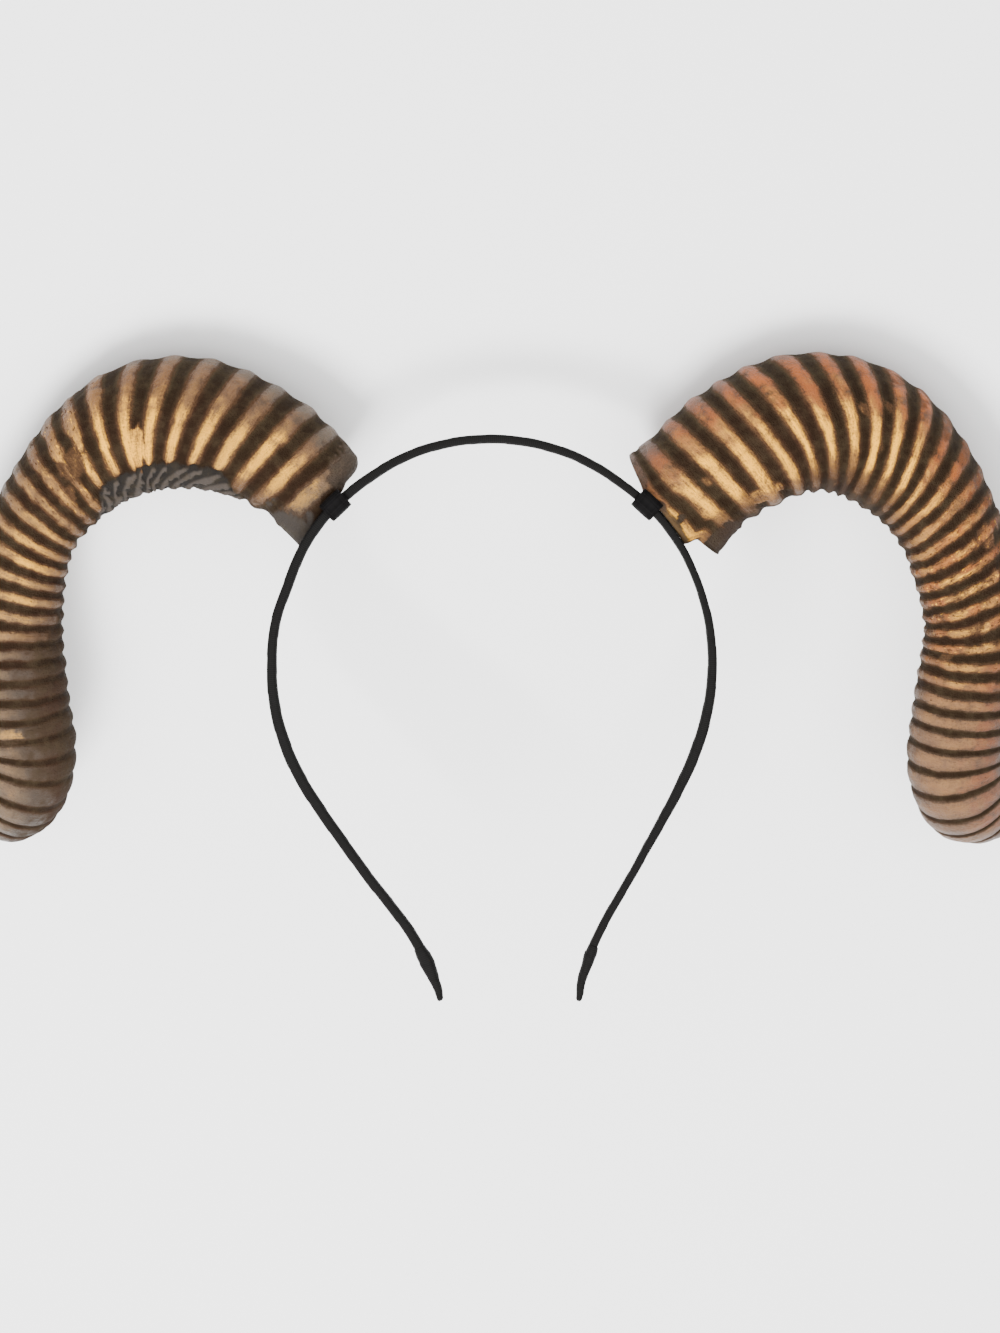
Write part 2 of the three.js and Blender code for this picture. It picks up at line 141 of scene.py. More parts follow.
# A horn's paint along its length in millimetres. The turns are degrees from the outer side towards
# the inner side: dust gives way to copper, copper to gold, and gold to the bare dark skin. Bright
# is how pale the gold is and how strong its painted highlight is, dust how much the dull wash
# covers, flecks how chipped the paint is and how many painted glints it has, and groove the share
# of a rib's pitch that stays dark.
PAINT_COLUMNS = ("at", "copper_turn", "gold_turn", "bare_turn", "bright", "dust", "flecks", "groove")
PAINT_ROWS = {
    "right": (
        (0, 66, 78, 136, 0.75, 0.35, 0.4, 0.26),
        (8, 40, 64, 136, 0.9, 0.3, 0.2, 0.42),
        (20, 38, 64, 148, 1, 0.22, 0.08, 0.48),
        (30, 36, 66, 158, 1, 0.18, 0.08, 0.5),
        (40, 34, 76, 144, 0.95, 0.15, 0.08, 0.52),
        (52, 30, 82, 138, 0.95, 0.12, 0.12, 0.52),
        (66, 28, 78, 138, 1, 0.1, 0.2, 0.5),
        (78, 30, 84, 144, 0.65, 0.12, 0.3, 0.5),
        (88, 34, 88, 158, 0.4, 0.15, 0.5, 0.52),
        (100, 36, 80, 166, 0.36, 0.15, 0.8, 0.52),
        (115, 36, 70, 170, 0.45, 0.16, 1, 0.5),
        (130, 40, 68, 172, 0.38, 0.3, 0.9, 0.54),
        (142, 42, 76, 172, 0.2, 0.55, 0.75, 0.6),
        (155, 45, 88, 172, 0.08, 0.75, 0.4, 0.36),
        (172, 50, 100, 175, 0.05, 0.85, 0.25, 0.22),
        (190, 50, 100, 175, 0.05, 0.9, 0.2, 0.18),
        (250, 50, 100, 175, 0.05, 0.95, 0.2, 0.18),
    ),
    "left": (
        (0, 78, 94, 132, 0.6, 1, 0.1, 0.4),
        (9, 54, 84, 142, 0.95, 0.55, 0.2, 0.46),
        (24, 46, 80, 146, 1, 0.4, 0.12, 0.5),
        (42, 38, 80, 146, 0.95, 0.28, 0.1, 0.54),
        (58, 30, 70, 150, 0.9, 0.18, 0.15, 0.56),
        (68, 30, 66, 152, 0.8, 0.16, 0.5, 0.54),
        (78, 34, 62, 160, 0.7, 0.2, 1, 0.52),
        (90, 40, 60, 162, 0.65, 0.34, 0.8, 0.52),
        (108, 40, 56, 162, 0.62, 0.42, 0.45, 0.53),
        (122, 40, 60, 158, 0.42, 0.55, 0.45, 0.52),
        (134, 46, 76, 116, 0.2, 0.66, 0.5, 0.48),
        (146, 50, 84, 92, 0.12, 0.8, 0.5, 0.48),
        (158, 50, 84, 96, 0.12, 0.8, 0.45, 0.34),
        (176, 50, 100, 112, 0.08, 0.9, 0.35, 0.24),
        (250, 50, 100, 120, 0.05, 0.95, 0.3, 0.2),
    ),
}

# Spots where a horn's casting or paint breaks the pattern: at and long in millimetres along the
# horn, turn and broad in degrees round it by way of the front, fill for a groove that is filled up,
# paint for the paint that runs over it (negative where the skin is left bare), plain for ribs that
# fade out, and swell for millimetres that the casting stands out.
SPOT_COLUMNS = ("at", "turn", "long", "broad", "fill", "paint", "plain", "swell")
SPOT_ROWS = {
    "right": (
        (2, 158, 11, 26, 0, -1, 0.85, 0.6),
        (0, 0, 9, 60, 0, 0, 0.3, 0.9),
        (2.8, 103, 1.3, 4, 0, -1, 0.6, -0.5),
        (0, 60, 3, 22, 0, -0.4, 0.3, 0),
        (0.2, 98, 2.3, 40, 0, -0.9, 0, 0),
        (104, 14, 34, 58, 0, -0.55, 0, 0),
        (23, 143, 6, 11, 0.8, 0.6, 0, 0),
        (13.5, 96, 1.4, 8, 0.5, 0.7, 0, 0),
        (62, 78, 3, 7, 0.5, 0.8, 0, 0),
        (65, 104, 3, 8, 0.4, 0.7, 0, 0),
        (69, 66, 3, 6, 0.4, 0.6, 0, 0),
        (107, 60, 4, 12, 0.6, 0.6, 0, 0),
        (137, 136, 2.6, 9, 0.4, 0.8, 0, 0),
    ),
    "left": (
        (1, 152, 10, 34, 0, -1, 1, 0.8),
        (1, 5, 10, 72, 0.8, -0.62, 0.8, 0),
        (58.4, 114, 4.2, 22, 0.95, 1, 0, 0),
        (80, 92, 5, 16, 0.45, 0.5, 0.3, 0),
        (86, 112, 4, 12, 0.5, 0.5, 0, 0),
        (160, 84, 3, 20, 0.3, 0.9, 0, 0),
    ),
}

# A wrapped tip: at as a share of its length from its mouth, outer and inner as millimetres from the
# band's middle line to the skin on either side, and broad as its half width from front to back.
WRAP_COLUMNS = ("at", "outer", "inner", "broad")
WRAP_ROWS = {
    "left": (
        (0, 1.72, 1.6, 3.72),
        (0.12, 1.88, 1.97, 3.9),
        (0.3, 1.88, 2.38, 4.05),
        (0.45, 1.55, 2.2, 3.95),
        (0.6, 0.95, 2, 3.6),
        (0.72, 0.62, 2.02, 3.3),
        (0.85, 0.46, 1.85, 3),
        (0.95, 0.5, 1.4, 2.7),
        (1, 0.45, 1.15, 2.4),
    ),
    "right": (
        (0, 1.5, 1.36, 3.72),
        (0.08, 1.72, 1.45, 3.9),
        (0.2, 1.68, 1.7, 4),
        (0.35, 1.42, 1.55, 3.85),
        (0.45, 1.22, 1.62, 3.7),
        (0.62, 0.7, 1.78, 3.4),
        (0.72, 0.7, 1.72, 3.2),
        (0.85, 0.88, 1.35, 3),
        (0.95, 0.75, 1, 2.6),
        (1, 0.62, 0.8, 2.4),
    ),
}

# The spacing of a cloth's ribs, and how strongly its warp shows.
CLOTHS = {"Satin ribbon": (0.00055, 0.25), "Webbing": (0.0009, 0.8)}


def metres(name, description, default, low, high):
    """A setting that is a length."""
    return bpy.props.FloatProperty(
        name=name, description=description, default=default, min=low, max=high,
        subtype="DISTANCE", unit="LENGTH")


def factor(name, description, default, low, high):
    """A setting without a unit."""
    return bpy.props.FloatProperty(
        name=name, description=description, default=default, min=low, max=high, subtype="FACTOR")


def tint(name, description, default):
    """A setting that is a colour."""
    return bpy.props.FloatVectorProperty(
        name=name, description=description, default=default, size=3, subtype="COLOR", min=0, max=1)


class BandSizes(bpy.types.PropertyGroup):
    half_span: metres(
        "Half span", "From the crown's axis to the band at its widest", 0.062, 0.05, 0.08)
    drop: metres("Drop", "From the crown down to the band's tips", 0.1574, 0.12, 0.2)
    thickness: metres("Thickness", "Of the sprung strip with its ribbon", 0.0032, 0.002, 0.006)
    width: metres("Width", "Of the band from front to back", 0.007, 0.004, 0.02)
    ribbon_pitch: metres(
        "Ribbon pitch", "Along the band, from one turn of the ribbon to the next", 0.0105, 0.004, 0.03)
    ribbon_edge: metres(
        "Ribbon edge", "Height of the step where one turn laps over the last", 0.00016, 0, 0.001)
    wrap_length: metres("Wrap length", "Of the wrapped tip at each end", 0.016, 0.008, 0.03)
    wrap_grip: metres(
        "Wrap grip", "How far the strip inside reaches into its wrapped tip", 0.009, 0.002, 0.02)
    ribbon_tuck: metres(
        "Ribbon tuck", "How far the ribbon on the band is seen to run into a wrapped tip",
        0.005, 0.001, 0.01)
    loop_from_crown: metres(
        "Loop from crown", "Along the band, from the crown to each loop", 0.0486, 0.03, 0.08)
    loop_length: metres("Loop length", "Of a fabric loop along the band", 0.007, 0.004, 0.02)
    loop_wall: metres("Loop wall", "Thickness of the loop's fabric", 0.0011, 0.0005, 0.003)
    play: metres("Play", "Between the band and what goes round it", 0.0003, 0, 0.001)


class HornSizes(bpy.types.PropertyGroup):
    reach: metres("Reach", "Outward, from the base to the hanging part", 0.0854, 0.05, 0.15)
    height: metres("Height", "Of the middle line, from the arch to the underside", 0.105, 0.06, 0.2)
    depth: metres("Depth", "Backward, from the base to the back of the curl", 0.053, 0.02, 0.1)
    thickness: metres("Thickness", "Across the arch", 0.04, 0.02, 0.06)
    roundness: factor("Roundness", "Front to back, as a share of the width", 0.87, 0.5, 1.2)
    set_back: metres("Base set back", "Of the base's centre, behind the band", 0.0126, 0, 0.03)
    right_slide: metres(
        "Right base slide", "Of the right base's centre, past its loop", 0.0059, -0.02, 0.02)
    left_slide: metres(
        "Left base slide", "Of the left base's centre, past its loop", 0.0007, -0.02, 0.02)
    touch_gap: metres(
        "Touch gap", "Between the base and the band where they are seen to touch", 0.00006, 0, 0.001)
    left_tuck: metres(
        "Left tuck", "How far the left base's lower corner reaches behind the band", 0.0022, 0, 0.005)
    right_tuck: metres(
        "Right tuck", "How far the right base reaches behind the band below the loop", 0.0011, 0, 0.005)
    right_slant: factor(
        "Right slant", "Rise of the right base's cut above the loop, as a share of its run",
        0.4, 0, 0.6)
    rim: metres("Rim rounding", "Where the side turns into the flat base", 0.0007, 0.0002, 0.004)
    left_shoulder: metres(
        "Left shoulder", "Rounding of the left base's outer edge", 0.0055, 0.001, 0.01)
    tip: metres("Tip rounding", "Length of the blunt rounded tip", 0.0026, 0.001, 0.01)
    seat_gap: metres("Seat gap", "Between the flat base and the band", 0.0003, 0, 0.002)


class RibSizes(bpy.types.PropertyGroup):
    pitch_base: metres(
        "Pitch at the base", "From one rib to the next near the base", 0.0082, 0.004, 0.015)
    pitch_tip: metres(
        "Pitch at the tip", "From one rib to the next near the tip", 0.00544, 0.003, 0.015)
    change_start: metres(
        "Change starts", "Along the horn, where the ribs start to close up", 0.0245, 0, 0.2)
    change_end: metres(
        "Change ends", "Along the horn, where the ribs stop closing up", 0.1066, 0, 0.25)
    right_start: metres(
        "Right start", "Where the right horn's first rib starts", -0.0035, -0.01, 0.01)
    left_start: metres("Left start", "Where the left horn's first rib starts", 0.001, -0.01, 0.01)
    relief: factor("Relief", "Depth of a groove, as a share of the pitch", 0.125, 0, 0.5)
    crest: factor("Crest", "Place of a rib's middle within its pitch", 0.53, 0, 1)
    lumps: metres("Lumps", "Height of the casting's unevenness", 0.00028, 0, 0.002)


class Finishes(bpy.types.PropertyGroup):
    skin: tint("Skin", "The dark foam skin in the grooves", (0.0225, 0.013, 0.006))
    skin_warm: tint(
        "Warm skin", "The skin where thinned paint has run over it", (0.0235, 0.0108, 0.0055))
    groove: tint("Groove", "The shaded bottom of the grooves", (0.0115, 0.006, 0.0028))
    olive: tint("Olive", "The dusty skin in the grooves along the outline", (0.042, 0.0315, 0.0175))
    stone: tint("Stone", "The lumps of the bare inner strip", (0.05, 0.043, 0.038))
    bronze: tint("Bronze", "The first, thin coat of paint", (0.064, 0.0315, 0.0155))
    # Umber also serves as the painted shade on the flanks of the ribs.
    umber: tint("Umber", "The thin coat where the dull wash has dirtied it", (0.046, 0.029, 0.019))
    copper: tint("Copper", "The copper paint on the outer side of the ribs", (0.32, 0.085, 0.018))
    ochre: tint("Ochre", "The yellower copper paint of the left horn", (0.175, 0.08, 0.03))
    gold: tint("Gold", "The gold paint over the copper", (0.36, 0.172, 0.042))
    # Pale gold is partly the palest gold paint on the crests and partly a painted highlight.
    pale_gold_and_highlight: tint("Pale gold", "The gold paint where it is thickest", (1.0, 0.47, 0.024))
    dust: tint("Dust", "The dull taupe wash at the outline and on the curl", (0.092, 0.054, 0.038))
    ash: tint("Ash", "The greyer wash of the left horn", (0.086, 0.067, 0.047))
    fabric: tint("Fabric", "The black of the ribbon", (0.0046, 0.0044, 0.0043))
    webbing: tint("Webbing", "The deeper black of the loops", (0.0024, 0.0022, 0.0023))
    floor: tint("Floor", "The pale floor", (0.92, 0.92, 0.92))


class StageSizes(bpy.types.PropertyGroup):
    camera_distance: metres("Camera distance", "From the camera to the band's plane", 2.0, 0.5, 10)
    picture_height: metres(
        "Picture height", "What the picture takes in at the band's plane", 0.3732, 0.1, 2)
    aim_right: metres(
        "Aim right", "Of the picture's middle, right of the crown", 0.00252, -0.1, 0.1)
    aim_down: metres("Aim down", "Of the picture's middle, below the crown", 0.0637, -0.2, 0.2)
    key_power: bpy.props.FloatProperty(
        name="Key power", description="Of the lamp at the picture's lower left",
        default=30, min=0, max=200, subtype="POWER", unit="POWER")
    overhead_power: bpy.props.FloatProperty(
        name="Overhead power", description="Of the large soft lamp over the headpiece",
        default=54, min=0, max=200, subtype="POWER", unit="POWER")
    sky: factor("Sky", "Strength of the even light from all round", 1.15, 0, 5)


def columns(rows, names):
    """A table's rows as one array for each named column."""
    return dict(zip(names, np.array(rows, float).T))


def ease(share):
    """From 0 to 1 with level ends: 3 s squared minus 2 s cubed, of the share kept within 0 and 1."""
    share = np.clip(share, 0, 1)
    return share * share * (3 - 2 * share)


def step_between(value, low, high):
    """Eased from 0 where the value is low to 1 where it is high."""
    return ease((value - low) / (high - low))


def blend(first, second, share):
    """The first value at a share of 0 and the second at 1."""
    return first + (second - first) * share


def unit(vectors):
    """Vectors of length 1 along the last axis."""
    return vectors / np.linalg.norm(vectors, axis=-1, keepdims=True)


def value_noise(u, v, around, seed):
    """Heights from -1 to 1, drawn for the corners of a square lattice and eased between them.

    The pattern repeats after a whole number of steps of v, so it closes round a piece.
    """
    first_u = np.floor(u).astype(int)
    first_v = np.floor(v).astype(int)
    share_u = ease(u - first_u)
    share_v = ease(v - first_v)
    first_u = first_u - first_u.min()
    heights = np.random.default_rng(seed).uniform(-1, 1, (first_u.max() + 2, around))
    low = blend(heights[first_u, first_v % around], heights[first_u + 1, first_v % around], share_u)
    next_v = (first_v + 1) % around
    high = blend(heights[first_u, next_v], heights[first_u + 1, next_v], share_u)
    return blend(low, high, share_v)


def layered_noise(u, v, around, seed, layers=3):
    """Value noise with finer and fainter layers on top, each twice as fine and half as high."""
    total = 0
    for layer in range(layers):
        finer = 2**layer
        total = total + value_noise(u * finer, v * finer, around * finer, seed + layer) / finer
    return total


def about_spans(padded, shares):
    """The four values about each share's span, and how far into the span it is."""
    spans = len(padded) - 3
    scaled = np.clip(shares, 0, 1) * spans
    index = np.minimum(scaled.astype(int), spans - 1)
    return [padded[index + offset] for offset in range(4)], scaled - index


def cubic(start, end, leave, arrive, step):
    """The cubic from start to end whose slopes there are leave and arrive."""
    return (
        start
        + leave * step
        + (3 * (end - start) - 2 * leave - arrive) * step**2
        + (2 * (start - end) + leave + arrive) * step**3
    )


def rounded_curve(points, shares):
    """A centripetal Catmull-Rom curve through the points, at shares of its parameter.

    Between two points it is the cubic whose end slopes come from the spacing of the four points
    about it, each spacing being the square root of their distance.
    """
    padded = np.vstack([2 * points[0] - points[1], points, 2 * points[-1] - points[-2]])
    (a, b, c, d), step = about_spans(padded, shares)
    before, between, after = (
        np.sqrt(np.linalg.norm(end - start, axis=1))[:, None] for start, end in ((a, b), (b, c), (c, d))
    )
    leave = ((b - a) / before - (c - a) / (before + between) + (c - b) / between) * between
    arrive = ((c - b) / between - (d - b) / (between + after) + (d - c) / after) * between
    return cubic(b, c, leave, arrive, step[:, None])


def rounded_values(values, shares):
    """A uniform Catmull-Rom curve through the values, at shares of its parameter."""
    padded = np.concatenate([values[:1], values, values[-1:]])
    (a, b, c, d), step = about_spans(padded, shares)
    return cubic(b, c, (c - a) / 2, (d - b) / 2, step)


def run_lengths(line):
    """The length of a line of points up to each of them."""
    return np.concatenate([[0], np.cumsum(np.linalg.norm(np.diff(line, axis=0), axis=1))])


def sample_columns(at, along, vectors):
    """Vectors of a table along a line, read at any lengths."""
    return np.stack([np.interp(at, along, vectors[:, axis]) for axis in range(3)], axis=-1)


class BandLine:
    """The band's middle line, measured along it from the crown towards either tip."""

    SHARES = 4001

    def __init__(self, sizes):
        table = columns(BAND_ROWS, BAND_COLUMNS)
        arms = {
            name: np.stack(
                [side * table[name] * sizes.half_span, -table["down"] * sizes.drop, 0 * table["down"]],
                axis=1,
            )
            for name, side in SIDES.items()
        }
        points = np.vstack([arms["left"][::-1], np.zeros((1, 3)), arms["right"]])
        thick = np.concatenate([table["left_thick"][::-1], [CROWN_THICK], table["right_thick"]])
        shares = np.linspace(0, 1, self.SHARES)
        self.line = rounded_curve(points, shares)
        self.halves = rounded_values(thick, shares) * sizes.thickness / 2
        self.lengths = run_lengths(self.line)
        self.crown = self.lengths[self.SHARES // 2]
        self.total = self.lengths[-1]
        self.slopes = unit(np.gradient(self.line, self.lengths, axis=0))

    def arm(self, side):
        """The length from the crown to the tip on one side."""
        return self.crown if side < 0 else self.total - self.crown

    def half(self, side, from_crown):
        """Half the ribboned band's thickness at lengths from the crown."""
        return np.interp(self.crown + side * from_crown, self.lengths, self.halves)

    def station(self, side, from_crown):
        """Place, direction to the tip and outward direction at lengths from the crown."""
        at = self.crown + side * np.asarray(from_crown, float)
        place = sample_columns(at, self.lengths, self.line)
        tipward = unit(sample_columns(at, self.lengths, self.slopes)) * side
        outward = np.cross(VIEWERWARD, tipward) * side
        return place, tipward, outward


class Lying:
    """How the headpiece lies: turned back by its tilt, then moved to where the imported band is."""

    def __init__(self, band):
        inward = next(m["axis"] for m in frame["record"]["mounts"] if m["name"] == "crown_rest")
        tilt = math.atan2(inward[2], -inward[1])
        self.turn = np.array(Matrix.Rotation(-tilt, 3, "X"))
        self.shift = np.zeros(3)
        low, high = (np.array(corner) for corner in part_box("headband"))
        bare = self.place(bare_band(band))
        self.shift = (low + high) / 2 - (bare.min(axis=0) + bare.max(axis=0)) / 2

    def place(self, points):
        """Points of the band's plane as they lie on the floor."""
        return points.reshape(-1, 3) @ self.turn.T + self.shift


def laid_band():
    """How the headpiece lies, and its band's line."""
    band = BandLine(bpy.context.scene.headpiece_band)
    return Lying(band), band


def bare_band(band):
    """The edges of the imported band, whose two ends stop inside the wraps."""
    sizes = bpy.context.scene.headpiece_band
    bare_end = sizes.wrap_length - sizes.wrap_grip
    edges = []
    for side in SIDES.values():
        reach = np.linspace(0, band.arm(side) - bare_end, 200)
        place, _, outward = band.station(side, reach)
        for across in (-1, 1):
            for forward in (-1, 1):
                edge = place + outward * across * sizes.thickness / 2
                edges.append(edge + VIEWERWARD * forward * sizes.width / 2)
    return np.concatenate(edges)


def face_corners(rings, sides):
    """Where the four corners of each face of a grid are: their rings and their sides."""
    ring, side = np.meshgrid(np.arange(rings), np.arange(sides), indexing="ij")
    ring_at = np.stack([ring, ring, ring + 1, ring + 1], axis=-1).reshape(-1, 4)
    side_at = np.stack([side, side + 1, side + 1, side], axis=-1).reshape(-1, 4)
    return ring_at, side_at


def cap_faces(first, sides, hub, start):
    """Triangles from a hub to one closed ring, facing away from the body."""
    side = np.arange(sides)
    here = first + side
    beside = first + (side + 1) % sides
    pair = (beside, here) if start else (here, beside)
    return np.stack([np.full(sides, hub), *pair], axis=-1)


def signed_volume(points, triangles):
    """The volume that triangles enclose, positive where they face outwards."""
    a, b, c = (points[triangles[:, corner]] for corner in range(3))
    return np.einsum("ij,ij->i", a, np.cross(b, c)).sum() / 6


def lofted_piece(name, grid, weave):
    """A closed piece through rings of points, with a fan over its first and its last ring.

    Grid is rings by sides by three. Weave is the length along and round the piece at each ring and
    each side, and becomes the piece's UV map. The faces are turned outwards.
    """
    rings, sides, _ = grid.shape
    hubs = np.stack([grid[0].mean(axis=0), grid[-1].mean(axis=0)])
    points = np.concatenate([grid.reshape(-1, 3), hubs])
    ring_at, side_at = face_corners(rings - 1, sides)
    quads = ring_at * sides + side_at % sides
    count = rings * sides
    caps = np.concatenate(
        [cap_faces(0, sides, count, True), cap_faces(count - sides, sides, count + 1, False)]
    )
    halves = np.concatenate([quads[:, [0, 1, 2]], quads[:, [0, 2, 3]], caps])
    if signed_volume(points, halves) < 0:
        quads, ring_at, side_at, caps = (
            corners[:, ::-1] for corners in (quads, ring_at, side_at, caps)
        )
    corners = np.concatenate([quads.ravel(), caps.ravel()]).astype(np.int32)
    sizes = np.concatenate([np.full(len(quads), 4), np.full(len(caps), 3)])
    starts = np.concatenate([[0], np.cumsum(sizes)[:-1]]).astype(np.int32)
    mesh = bpy.data.meshes.new(name)
    mesh.vertices.add(len(points))
    mesh.vertices.foreach_set("co", points.astype(np.float32).ravel())
    mesh.loops.add(len(corners))
    mesh.loops.foreach_set("vertex_index", corners)
    mesh.polygons.add(len(sizes))
    mesh.polygons.foreach_set("loop_start", starts)
    mesh.update(calc_edges=True)
    mesh.validate()
    mesh.polygons.foreach_set("use_smooth", np.ones(len(sizes), bool))
    set_weave(mesh, weave, ring_at, side_at, len(caps))
    piece = bpy.data.objects.new(name, mesh)
    bpy.context.scene.collection.objects.link(piece)
    return piece


def set_weave(mesh, weave, ring_at, side_at, caps=0):
    """The UV map of a piece: lengths along and round it, unbroken over the closing side."""
    along, around = weave
    corners = np.stack([along[ring_at], around[side_at]], axis=-1).reshape(-1, 2)
    ends = np.zeros((caps * 3, 2))
    layer = mesh.uv_layers.new(name="weave")
    layer.data.foreach_set("uv", np.concatenate([corners, ends]).astype(np.float32).ravel())


def set_values(piece, name, grid_values):
    """A number for each point of a lofted piece, with the end hubs given their rings' means."""
    ends = [grid_values[0].mean(), grid_values[-1].mean()]
    values = np.concatenate([grid_values.ravel(), ends]).astype(np.float32)
    attribute = piece.data.attributes.new(name, "FLOAT", "POINT")
    attribute.data.foreach_set("value", values)


def seat(piece, node, material):
    """The piece gets its material, stands for its CAD node and rides with the part."""
    piece.data.materials.append(material)
    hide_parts(node)
    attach(piece, "root")


class HornLine:
    """A horn's middle line from its base, with its section and directions at any length."""

    SHARES = 6001
    STATIONS = 1601

    def __init__(self, rows, sizes):
        table = columns(rows, HORN_COLUMNS)
        points = np.stack(
            [table["out"] * sizes.reach, table["up"] * sizes.height, -table["back"] * sizes.depth],
            axis=1,
        )
        shares = np.linspace(0, 1, self.SHARES)
        line = rounded_curve(points, shares)
        lengths = run_lengths(line)
        self.length = lengths[-1]
        self.along = np.linspace(0, self.length, self.STATIONS)
        self.line = sample_columns(self.along, lengths, line)
        self.tangents = unit(np.gradient(self.line, self.along, axis=0))
        self.outers = self.carried_outer()
        row_shares = np.interp(self.along, lengths, shares)
        self.radii = rounded_values(table["wide"], row_shares) * sizes.thickness / 2
        self.leans = np.tan(np.radians(rounded_values(table["lean"], row_shares)))
        self.roundness = sizes.roundness

    def carried_outer(self):
        """The outer direction, carried along the line and kept square to it."""
        outer = unit(np.cross(VIEWERWARD, self.tangents[0]))
        carried = []
        for tangent in self.tangents:
            outer = unit(outer - tangent * (outer @ tangent))
            carried.append(outer)
        return np.array(carried)

    def radius(self, along):
        """Half the width of the section at lengths along the line."""
        return np.interp(along, self.along, self.radii)

    def skin(self, along, angle, inset):
        """Points of the skin, angle 0 being the outer side and a quarter turn the front.

        Each point slides back along the line by the ribs' lean times its height over the line, but
        not past the base, and lies on an ellipse about the line, less its inset.
        """
        radius = self.radius(along)
        slide = np.interp(along, self.along, self.leans) * radius * np.cos(angle)
        at = np.maximum(0, along - slide)
        place = sample_columns(at, self.along, self.line)
        tangent = unit(sample_columns(at, self.along, self.tangents))
        outer = unit(sample_columns(at, self.along, self.outers))
        front = np.cross(tangent, outer)
        across = (radius - inset) * np.cos(angle)
        forward = (radius * self.roundness - inset) * np.sin(angle)
        return place + outer * across[..., None] + front * forward[..., None]


def rib_starts(sizes, first, length):
    """Where each rib of a horn starts, from its first rib to past its tip."""
    starts = [first]
    while starts[-1] < length + sizes.pitch_tip:
        closed_up = step_between(starts[-1], sizes.change_start, sizes.change_end)
        starts.append(starts[-1] + float(blend(sizes.pitch_base, sizes.pitch_tip, closed_up)))
    return np.array(starts)


def horn_place(band, line, side):
    """Where a horn's base sits in the band's plane, and its turn there."""
    sizes = bpy.context.scene.headpiece_horn
    band_sizes = bpy.context.scene.headpiece_band
    place, tipward, outward = (v.reshape(3) for v in band.station(side, [band_sizes.loop_from_crown]))
    start = line.tangents[0]
    flat = math.hypot(start[0], start[1])
    axis = outward * flat + VIEWERWARD * start[2]
    across = outward * -start[2] + VIEWERWARD * flat
    clear = band_sizes.thickness / 2 * flat + band_sizes.width / 2 * start[2] + sizes.seat_gap
    slide = sizes.left_slide if side < 0 else sizes.right_slide
    origin = place + tipward * slide + axis * clear - across * sizes.set_back
    turn = math.atan2(outward[1], outward[0]) - math.atan2(start[1], start[0] * side)
    return origin, np.array(Matrix.Rotation(turn, 3, "Z"))


def reach_of(along, around, at, turn, long, broad):
    """How far out each point is from a spot's middle, the spot's edge being at 1."""
    aside = (around - turn + 180) % 360 - 180
    return np.hypot((along * 1000 - at) / long, aside / broad)


def base_foot(name, band, line, along, angle, fold, shares):
    """How far the base reaches back to the band, where the band has curved away from its plane.

    The front of each base fills the gap to the band. The left one does so down to its lower corner,
    which tucks in behind the band. The right one stops short of its corner, tucks in behind the
    band further back, and is cut on a slant above the loop, away from the band. The reach fades out
    along the horn, and behind the band the bases stay flat.
    """
    sizes = bpy.context.scene.headpiece_horn
    band_sizes = bpy.context.scene.headpiece_band
    loop = band_sizes.loop_from_crown
    foot_length = 0.011
    side = SIDES[name]
    stations = loop + np.linspace(-0.01, 0.05, 300)
    place, _, outward = band.station(side, stations)
    origin, down, out = (v.reshape(3) for v in band.station(side, [loop]))
    face = place + outward * band.half(side, stations)[:, None] - origin
    slide = sizes.left_slide if side < 0 else sizes.right_slide
    toward_tip = slide - line.radius(0.0) * np.cos(angle) * shares
    start = line.tangents[0]
    depth = line.radius(0.0) * sizes.roundness * np.sin(angle) * shares - sizes.set_back
    tilted = (band_sizes.width / 2 - depth) * start[2] / math.hypot(start[0], start[1])
    plane = band_sizes.thickness / 2 + sizes.seat_gap + tilted
    gap = plane - np.interp(toward_tip, face @ down, face @ out) - sizes.touch_gap
    in_front = step_between(np.sin(angle) * shares, -0.5, -0.05) * ease(shares / 0.6)
    share = step_between(fold, 50, 75) * in_front
    if name == "left":
        tuck = sizes.left_tuck * step_between(fold, 132, 158)
        slant = 0
    else:
        share = share * (1 - step_between(fold, 121, 128))
        tuck = sizes.right_tuck * step_between(-depth, band_sizes.width / 2, band_sizes.width)
        slant = sizes.right_slant * np.maximum(-toward_tip - band_sizes.loop_length / 2, 0)
    return ((np.maximum(gap, 0) + tuck) * share - slant) * (1 - ease(along / foot_length))


def spot_masks(name, along, around, rough):
    """How much each kind of spot counts at each point of a horn.

    A spot is an ellipse in length and turn with a ragged, eased edge.
    """
    masks = {kind: np.zeros_like(along) for kind in ("fill", "paint", "bare", "plain", "swell")}
    table = columns(SPOT_ROWS[name], SPOT_COLUMNS)
    for row in zip(*(table[column] for column in SPOT_COLUMNS)):
        at, turn, long, broad, fill, paint, plain, swell = row
        reach = reach_of(along, around, at, turn, long, broad)
        inside = 1 - step_between(reach + rough * 0.25, 0.75, 1.05)
        masks["fill"] = np.maximum(masks["fill"], inside * fill)
        masks["paint"] = np.maximum(masks["paint"], inside * max(paint, 0))
        masks["bare"] = np.maximum(masks["bare"], inside * max(-paint, 0))
        masks["plain"] = np.maximum(masks["plain"], inside * plain)
        masks["swell"] += swell / 1000 * ease(1.3 - reach)
    return masks


def rib_profile(count, crest, groove):
    """Height of the ribs from 0 to 1, about a half at the edges of a groove of the given share."""
    to_groove = 0.5 - np.abs((count - crest + 0.5) % 1 - 0.5)
    bottom = groove * 0.16
    flank = step_between(to_groove, bottom, groove * 0.86)
    slope = np.clip((to_groove - bottom) / (0.5 - bottom), 0, 1)
    return 0.5 * flank + 0.5 * slope


